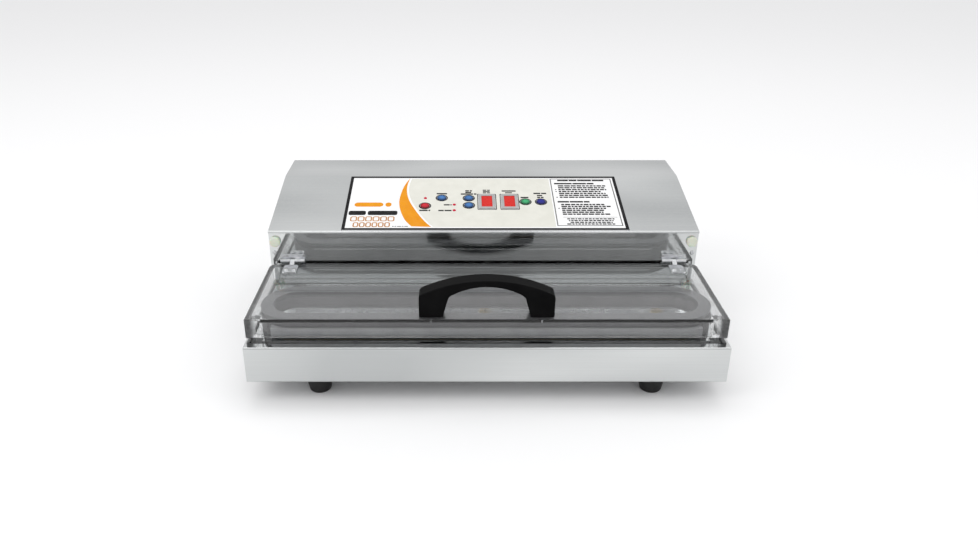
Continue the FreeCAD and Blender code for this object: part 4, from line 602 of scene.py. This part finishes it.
# %% Light through the lid
lets_light_by = place(tree, "ShaderNodeBsdfTransparent")
lets_light_by.inputs["Color"].default_value = (0.92, 0.93, 0.935, 1)
is_shadow = place(tree, "ShaderNodeLightPath").outputs["Is Shadow Ray"]
either = place(tree, "ShaderNodeMixShader")
tree.links.new(is_shadow, either.inputs[0])
tree.links.new(shader.outputs[0], either.inputs[1])
tree.links.new(lets_light_by.outputs[0], either.inputs[2])
tree.links.new(either.outputs[0], tree.nodes["Material Output"].inputs["Surface"])
dress("clear_plastic", clear)

# %% [markdown]
# ### A hair's gap under the clear lid
# The gasket's holder sits against the underside of the lid, so in CAD their faces coincide.
# Such a pair renders darker than faces that are kept apart. A Displace modifier draws the
# holder's skin in by a tenth of a millimetre, which leaves a film of air between them; a
# Weld before it keeps its corners closed. The CAD mesh itself stays as it is.

# %% Hair's gap
HAIR_GAP = 0.1 * MM
holder = frame["nodes"]["gasket_carrier"]
weld = holder.modifiers.new("closed_corners", "WELD")
weld.merge_threshold = HAIR_GAP / 100
draw_in = holder.modifiers.new("hair_gap", "DISPLACE")
draw_in.mid_level = 0.0
draw_in.strength = -HAIR_GAP
print("holder drawn in by", HAIR_GAP / MM, "mm")

# %% [markdown]
# ### Buttons, lamps and display windows
# Each push button is a shallow dome with painted shade at its rim and a paler middle, which is
# painted highlight where light falls on it and polish where fingers rub it. The distance from the
# middle of the part, read from the Generated coordinates, gives that ring. The red windows and
# indicators carry a faint painted glow.

# %% Buttons
def button_dome(name, rim, middle, painted_glow=0.0):
    """Glossy dome: rim colour outside, a paler middle, and a fine skin."""
    material, tree, shader, position = start_finish(name, Specular_IOR_Level=0.18)
    from_middle = place(tree, "ShaderNodeVectorMath", operation="DISTANCE")
    whole = place(tree, "ShaderNodeTexCoord").outputs["Generated"]
    tree.links.new(stretch(tree, whole, (1.0, 1.0, 0.0)), from_middle.inputs[0])
    from_middle.inputs[1].default_value = (0.5, 0.5, 0.0)
    outer = remap(tree, from_middle.outputs["Value"], 0.14, 0.46)
    skin = use(tree, skin_effect, position, Pit_Scale=1800.0, Cloud_Size=150.0)
    edge = use(tree, edge_effect, position, Radius=0.3 * MM)
    # Painted shade at the rim and a painted highlight in the middle.
    colour = blend_colours(tree, outer, middle, rim)
    colour = blend_colours(tree, sum_up(tree, "MULTIPLY", skin["Mottle"], 0.12), colour, rim)
    tree.links.new(colour, shader.inputs["Base Color"])
    # Painted glow: these windows and indicators are made to give out a little light of their own.
    if painted_glow:
        tree.links.new(colour, shader.inputs["Emission Color"])
        shader.inputs["Emission Strength"].default_value = painted_glow
    tree.links.new(remap(tree, skin["Mottle"], 0.0, 1.0, 0.26, 0.34), shader.inputs["Roughness"])
    raise_bump(tree, shader, skin["Height"], 10.0, edge["Normal"])
    return material


dress("button_red", button_dome("red_dome", (0.12, 0.002, 0.005), (0.62, 0.010, 0.026)))
dress("button_blue", button_dome("blue_dome", (0.006, 0.024, 0.075), (0.055, 0.19, 0.48)))
dress("button_green", button_dome("green_dome", (0.006, 0.07, 0.028), (0.050, 0.42, 0.17)))
dress("button_navy", button_dome("navy_dome", (0.006, 0.006, 0.060), (0.014, 0.018, 0.26)))
dress("lens_red", button_dome("red_window", (0.58, 0.014, 0.008), (0.62, 0.016, 0.009), painted_glow=0.06))
dress("led_red", button_dome("red_indicator", (0.50, 0.006, 0.030), (0.80, 0.020, 0.070), painted_glow=0.10))

# %% [markdown]
# ### Printed film
# The label is matt white film. Inks are the same film with another colour, so they share
# one function: a slight unevenness of the ink, a fine skin, and very little shine, since
# shine would wash out the black border under the pale sky.

# %% Inks
def printed_film(name, colour, thin_colour):
    """Ink or film with a matt face; thin_colour is where the ink lies thinner."""
    material, tree, shader, position = start_finish(name, Specular_IOR_Level=0.06)
    skin = use(tree, skin_effect, position, Pit_Scale=2600.0, Cloud_Size=70.0)
    dust = use(tree, dust_and_lit_top_effect, position)
    ink = blend_colours(tree, skin["Mottle"], colour, thin_colour)
    ink = blend_colours(tree, sum_up(tree, "MULTIPLY", dust["Dust"], 0.04), ink, (0.6, 0.6, 0.58))
    tree.links.new(ink, shader.inputs["Base Color"])
    tree.links.new(remap(tree, skin["Mottle"], 0.0, 1.0, 0.38, 0.46), shader.inputs["Roughness"])
    raise_bump(tree, shader, skin["Height"], 6.0)
    return material


dress("label_white", printed_film("white_film", (0.90, 0.90, 0.90), (0.86, 0.86, 0.86)))
INKS = {
    "black": printed_film("black_ink", (0.006, 0.006, 0.007), (0.014, 0.014, 0.015)),
    "grey": printed_film("grey_ink", (0.10, 0.10, 0.10), (0.16, 0.16, 0.16)),
    "beige": printed_film("beige_ink", (0.70, 0.695, 0.63), (0.74, 0.735, 0.67)),
    "orange": printed_film("orange_ink", (0.74, 0.27, 0.008), (0.79, 0.31, 0.012)),
    "tan": printed_film("tan_ink", (0.46, 0.20, 0.060), (0.54, 0.26, 0.090)),
}
print(len(INKS), "inks")

# %% [markdown]
# ## The control label
# The label lies on the sloping top, so its prints are drawn flat, in millimetres from the
# label's lower left corner, and then laid on the slope. The slope is read from the CAD
# part itself: its largest upward face gives the direction, and that face's lower left
# corner gives the start.

# %% The label's plane
ON_FACE = 0.01 * MM

overlay = frame["nodes"]["control_overlay"].data
top_face = max((p for p in overlay.polygons if p.normal.z > 0.5), key=lambda p: p.area)
label_up = top_face.normal.copy()
label_along = Vector((1.0, 0.0, 0.0))
label_back = label_up.cross(label_along).normalized()
top_point = overlay.vertices[top_face.vertices[0]].co
on_top = [v.co for v in overlay.vertices if abs((v.co - top_point).dot(label_up)) < ON_FACE]
label_corner = Vector((0.0, 0.0, 0.0))
label_corner += label_along * min(p.x for p in on_top)
label_corner += label_back * min(p.dot(label_back) for p in on_top)
label_corner += label_up * top_point.dot(label_up)
label_width = (max(p.x for p in on_top) - min(p.x for p in on_top)) / MM
label_depth = (max(p.dot(label_back) for p in on_top) - min(p.dot(label_back) for p in on_top)) / MM
label_to_world = Matrix.Translation(label_corner) @ Matrix(
    (label_along, label_back, label_up)).transposed().to_4x4() @ Matrix.Scale(MM, 4)
print("label", round(label_width, 1), "x", round(label_depth, 1), "mm, slope",
      round(math.degrees(math.acos(label_up.z)), 2), "degrees")

# %% [markdown]
# ### A printed shape
# Ink is a thin closed layer. A 2D curve fills any outline and leaves loops inside it open,
# so windows for the buttons cost nothing. The curve is given a thickness, turned into a
# mesh and laid on the label. A texture would be easier, but it would hold no geometry.

# %% Printing
INK_THICKNESS = 0.05
INK_SUNK = 0.01


def printed(name, ink, loops, layer=0):
    """A layer of ink inside the loops, which are lists of points in label millimetres."""
    outline = bpy.data.curves.new(name, "CURVE")
    outline.dimensions = "2D"
    outline.fill_mode = "BOTH"
    outline.extrude = INK_THICKNESS / 2
    for loop in loops:
        spline = outline.splines.new("POLY")
        spline.points.add(len(loop) - 1)
        for point, (u, v) in zip(spline.points, loop):
            point.co = (u, v, 0.0, 1.0)
        spline.use_cyclic_u = True
    drawn = bpy.data.objects.new(name + "_outline", outline)
    mesh = bpy.data.meshes.new_from_object(drawn)
    bpy.data.objects.remove(drawn)
    middle = INK_THICKNESS / 2 - INK_SUNK + layer * (INK_THICKNESS - INK_SUNK)
    mesh.transform(label_to_world @ Matrix.Translation((0.0, 0.0, middle)))
    mesh.materials.clear()
    mesh.materials.append(INKS[ink])
    piece = bpy.data.objects.new(name, mesh)
    bpy.context.scene.collection.objects.link(piece)
    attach(piece, "base")
    print(name, len(loops), "loops")


def bar(left, low, right, high, corner=0.0, steps=5):
    """A rectangle with rounded corners."""
    if corner == 0.0:
        return [(left, low), (right, low), (right, high), (left, high)]
    points = []
    for u, v, start in ((right - corner, low + corner, -90), (right - corner, high - corner, 0),
                        (left + corner, high - corner, 90), (left + corner, low + corner, 180)):
        for step in range(steps + 1):
            turn = math.radians(start + 90 * step / steps)
            points.append((u + corner * math.cos(turn), v + corner * math.sin(turn)))
    return points


def ring(u, v, radius, steps=40):
    """A circle."""
    return [(u + radius * math.cos(math.tau * k / steps), v + radius * math.sin(math.tau * k / steps))
            for k in range(steps)]


def flowing(points, steps=8):
    """A smooth line through the points, by Catmull and Rom's rule."""
    padded_points = [points[0], *points, points[-1]]
    line = []
    for a, b, c, d in zip(padded_points, padded_points[1:], padded_points[2:], padded_points[3:]):
        for step in range(steps):
            t = step / steps
            line.append(tuple(0.5 * (2 * q + (r - p) * t + (2 * p - 5 * q + 4 * r - s) * t * t
                                     + (3 * q - p - 3 * r + s) * t ** 3)
                              for p, q, r, s in zip(a, b, c, d)))
    return [*line, points[-1]]


print("ink", INK_THICKNESS, "mm thick, sunk", INK_SUNK, "mm into the layer below")

# %% [markdown]
# ### Border, crescent and ground colour
# A black border runs round the edge. Left of the controls a plain orange crescent divides
# the white end from the beige ground. The ground is left open round each button, lamp and
# window, a little wider than the part, so that a white ring of film shows and nothing rubs.
# A thin black line then rings each button and window, one layer of ink higher. The openings
# are found from the CAD parts: each loose island of a part is walked along its edges, and
# its box is taken in label millimetres.

# %% Where the controls are
def islands(node):
    """(left, low, right, high) of each loose piece of a CAD part, in label millimetres."""
    shape = bmesh.new()
    shape.from_mesh(frame["nodes"][node].data)
    bmesh.ops.remove_doubles(shape, verts=shape.verts, dist=MICRON)
    shape.transform(label_to_world.inverted())
    waiting, boxes = set(shape.verts), []
    while waiting:
        walk, found = [waiting.pop()], []
        while walk:
            here = walk.pop()
            found.append(here.co.copy())
            for edge in here.link_edges:
                there = edge.other_vert(here)
                if there in waiting:
                    waiting.remove(there)
                    walk.append(there)
        boxes.append((min(p.x for p in found), min(p.y for p in found),
                      max(p.x for p in found), max(p.y for p in found)))
    shape.free()
    return sorted(boxes)


button_boxes = {n: islands(n)[0] for n in sorted(frame["nodes"]) if n.startswith("button_")}
lamp_boxes, window_boxes = islands("indicator_leds"), islands("display_bezels")
print(len(button_boxes), "buttons,", len(lamp_boxes), "lamps,", len(window_boxes), "windows")

# %% Border and ground
BORDER = 3.7
GROUND_RIGHT, GROUND_BOTTOM, GROUND_TOP = 243.0, 6.0, 111.0
BUTTON_RELIEF, LAMP_RELIEF, WINDOW_RELIEF = 5.9, 2.4, 0.5
CRESCENT_OUTER = [(73.0, 112.0), (68.0, 99.2), (64.4, 83.3), (62.4, 65.1), (62.6, 53.8),
                  (64.0, 43.5), (67.0, 31.4), (71.7, 18.4), (79.6, GROUND_BOTTOM)]
CRESCENT_INNER = [(101.2, GROUND_BOTTOM), (94.1, 16.4), (86.7, 30.3), (80.4, 44.5), (76.6, 53.8),
                  (73.6, 63.0), (71.4, 73.1), (70.1, 85.6), (70.7, 99.2), (73.0, 112.0)]
WHITE_LINE = 2.5

printed("print_border", "black", [bar(0.0, 0.0, label_width, label_depth),
                                  bar(BORDER, BORDER, label_width - BORDER, label_depth - BORDER)])
printed("print_crescent", "orange", [flowing(CRESCENT_OUTER)[:-1] + flowing(CRESCENT_INNER)[:-1]])
ground_edge = [(u + WHITE_LINE, min(v, GROUND_TOP)) for u, v in flowing(CRESCENT_INNER)]
openings = [ring((a + c) / 2, (b + d) / 2, BUTTON_RELIEF) for a, b, c, d in button_boxes.values()]
openings += [ring((a + c) / 2, (b + d) / 2, LAMP_RELIEF) for a, b, c, d in lamp_boxes]
openings += [bar(a - WINDOW_RELIEF, b - WINDOW_RELIEF, c + WINDOW_RELIEF, d + WINDOW_RELIEF, 1.0)
             for a, b, c, d in window_boxes]
ground_loop = [*ground_edge, (GROUND_RIGHT, GROUND_TOP), (GROUND_RIGHT, GROUND_BOTTOM)]
printed("print_ground", "beige", [ground_loop, *openings])

# %% Black lines round the buttons and windows
BUTTON_LINE, WINDOW_LINE, LINE_CLEAR = 1.3, 0.9, 0.1
button_start, window_start = BUTTON_RELIEF + LINE_CLEAR, WINDOW_RELIEF + LINE_CLEAR
rims = [ring((a + c) / 2, (b + d) / 2, radius) for a, b, c, d in button_boxes.values()
        for radius in (button_start, button_start + BUTTON_LINE)]
rims += [bar(a - grown, b - grown, c + grown, d + grown, 1.4) for a, b, c, d in window_boxes
         for grown in (window_start, window_start + WINDOW_LINE)]
printed("print_rims", "black", rims, layer=1)

# %% [markdown]
# ### Stand-ins for the wording
# Real labels carry words. Here every word is a plain block, so the label has the weight and
# rhythm of print but says nothing. A row of blocks gets its widths from a seeded draw, so
# that every run prints the same label.

# %% Rows of blocks
typesetter = random.Random(11)
WORD_GAP, WORD_CORNER = 0.9, 0.35


def block_row(left, right, middle, height, longest=7.0):
    """Blocks of uneven length along one line, with small gaps."""
    blocks, u = [], left
    while u < right - 1.0:
        end = min(right, u + typesetter.uniform(0.35, 1.0) * longest)
        blocks.append(bar(u, middle - height / 2, end, middle + height / 2, min(WORD_CORNER, height / 3), 2))
        u = end + WORD_GAP
    return blocks


print("blocks stand", WORD_GAP, "mm apart")

# %% Captions by the controls
def caption(middle_u, width, middle_v, height=2.8):
    """One centred caption line."""
    return block_row(middle_u - width / 2, middle_u + width / 2, middle_v, height, 1.2 * width)


power, mode, up, start, manual = (
    ((button_boxes["button_" + n][0] + button_boxes["button_" + n][2]) / 2,
     (button_boxes["button_" + n][1] + button_boxes["button_" + n][3]) / 2)
    for n in ("power", "mode", "time_up", "start", "manual_seal"))
window_middles = [(a + c) / 2 for a, _, c, _ in window_boxes]
lamp_rows = [((a + c) / 2, (b + d) / 2) for a, b, c, d in lamp_boxes if a > power[0] + BUTTON_RELIEF]

words = caption(power[0], 12.6, power[1] - 9.6) + caption(mode[0], 12.4, mode[1] + 9.4)
words += caption(up[0], 18.8, up[1] + 9.2)
words += caption(up[0], 8.0, up[1] + 12.8) + caption(up[0], 8.0, up[1] + 16.4)
for (lamp_u, lamp_v), width in zip(sorted(lamp_rows, key=lambda p: -p[1]), (9.2, 15.4)):
    words += block_row(lamp_u - 3.2 - width, lamp_u - 3.2, lamp_v - 0.4, 2.6, width)
words += [line for v in (84.4, 81.4, 78.4) for line in caption(window_middles[0], 8.6, v, 2.0)]
words += caption(window_middles[1], 16.8, 82.6, 2.6) + caption(window_middles[1], 9.0, 78.6, 2.2)
words += caption(start[0], 10.4, start[1] + 9.4)
words += caption(manual[0], 15.2, manual[1] + 18.6) + caption(manual[0], 7.6, manual[1] + 13.8)
words += caption(manual[0], 7.6, manual[1] + 9.6)
printed("print_captions", "black", words, layer=1)

# %% [markdown]
# ### The reference panel and the marks
# The right end carries a framed panel of small print: three headings and rows of short
# blocks, some with a bullet. The left end carries a few bold marks, here plain bars, and
# two rows of hollow blocks, each a bar with a smaller bar cut out of it.

# %% The reference panel at the right
PANEL, FRAME_LINE = (244.5, 8.0, 319.2, 111.0), 1.2
panel_left, panel_low, panel_right, panel_high = PANEL
printed("print_panel_frame", "grey", [bar(*PANEL), bar(panel_left + FRAME_LINE, panel_low + FRAME_LINE,
                                                       panel_right - FRAME_LINE, panel_high - FRAME_LINE)])
text_left, text_right = panel_left + 8.5, panel_right - 4.0
# inset at the left, inset at the right, middle, height, longest block
HEADS = ((9.0, 9.0, 107.0, 3.4, 26.0), (4.5, 22.0, 99.6, 3.2, 24.0), (5.0, 32.0, 58.6, 3.2, 20.0))
heads = []
for inset_left, inset_right, *row in HEADS:
    heads += block_row(panel_left + inset_left, panel_right - inset_right, *row)
printed("print_panel_heads", "black", heads)
lines = []
for middle in [94.4 - 4.3 * k for k in range(7)] + [52.6 - 4.1 * k for k in range(6)]:
    lines += block_row(text_left, text_right - typesetter.uniform(0.0, 16.0), middle, 2.8)
    if typesetter.random() < 0.5:
        lines.append(bar(panel_left + 4.5, middle - 0.9, panel_left + 6.2, middle + 0.9, 0.3, 2))
lines += [bar(text_left, 25.6, text_right, 26.1)]
for middle, inset in ((22.4, 8.0), (18.8, 11.0), (15.2, 14.0), (11.8, 6.0)):
    lines += block_row(text_left + inset / 2, text_right - inset / 2, middle, 2.3, 5.0)
printed("print_panel_lines", "black", lines)

# %% The plain marks at the left
printed("print_mark", "orange", [bar(10.0, 48.0, 44.0, 57.0, 4.4), bar(46.5, 48.0, 53.5, 57.0, 3.4)])
printed("print_blocks", "black", [bar(5.0, 30.2, 25.0, 39.2, 2.6), bar(27.2, 30.2, 61.5, 39.2, 2.6)])

# %% Two rows of hollow blocks
OUTLINE, BLOCKS_IN_ROW, BLOCK_GAP = 1.5, 6, 0.6
outlines = []
for left, low, right, high in ((8.0, 17.4, 59.5, 27.4), (12.0, 5.6, 55.0, 15.2)):
    step = (right - left) / BLOCKS_IN_ROW
    for u in (left + step * k for k in range(BLOCKS_IN_ROW)):
        end = u + step - BLOCK_GAP
        outlines.append(bar(u, low, end, high, 2.4))
        outlines.append(bar(u + OUTLINE, low + OUTLINE, end - OUTLINE, high - OUTLINE, 1.2))
printed("print_outlines", "tan", outlines)
printed("print_small_line", "grey", block_row(57.0, 75.0, 7.0, 1.4, 5.0))

# %% [markdown]
# ## The size, and the end
# The finish adds only a few hundredths of a millimetre of ink, well inside the outline, so
# the shown machine should still fill the CAD box. How far the shown box reaches past the CAD
# box is printed, in millimetres.

# %% Sizes, and the end
shown_low, shown_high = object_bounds()
growth = [round((a - b) / MM, 3) for a, b in zip((*cad_low, *shown_high), (*shown_low, *cad_high))]
print("grown by", growth, "mm")
undressed = [row["node"] for row in frame["record"]["subparts"] if row["material_slot"] not in finish_of]
print("undressed parts:", undressed or "none")
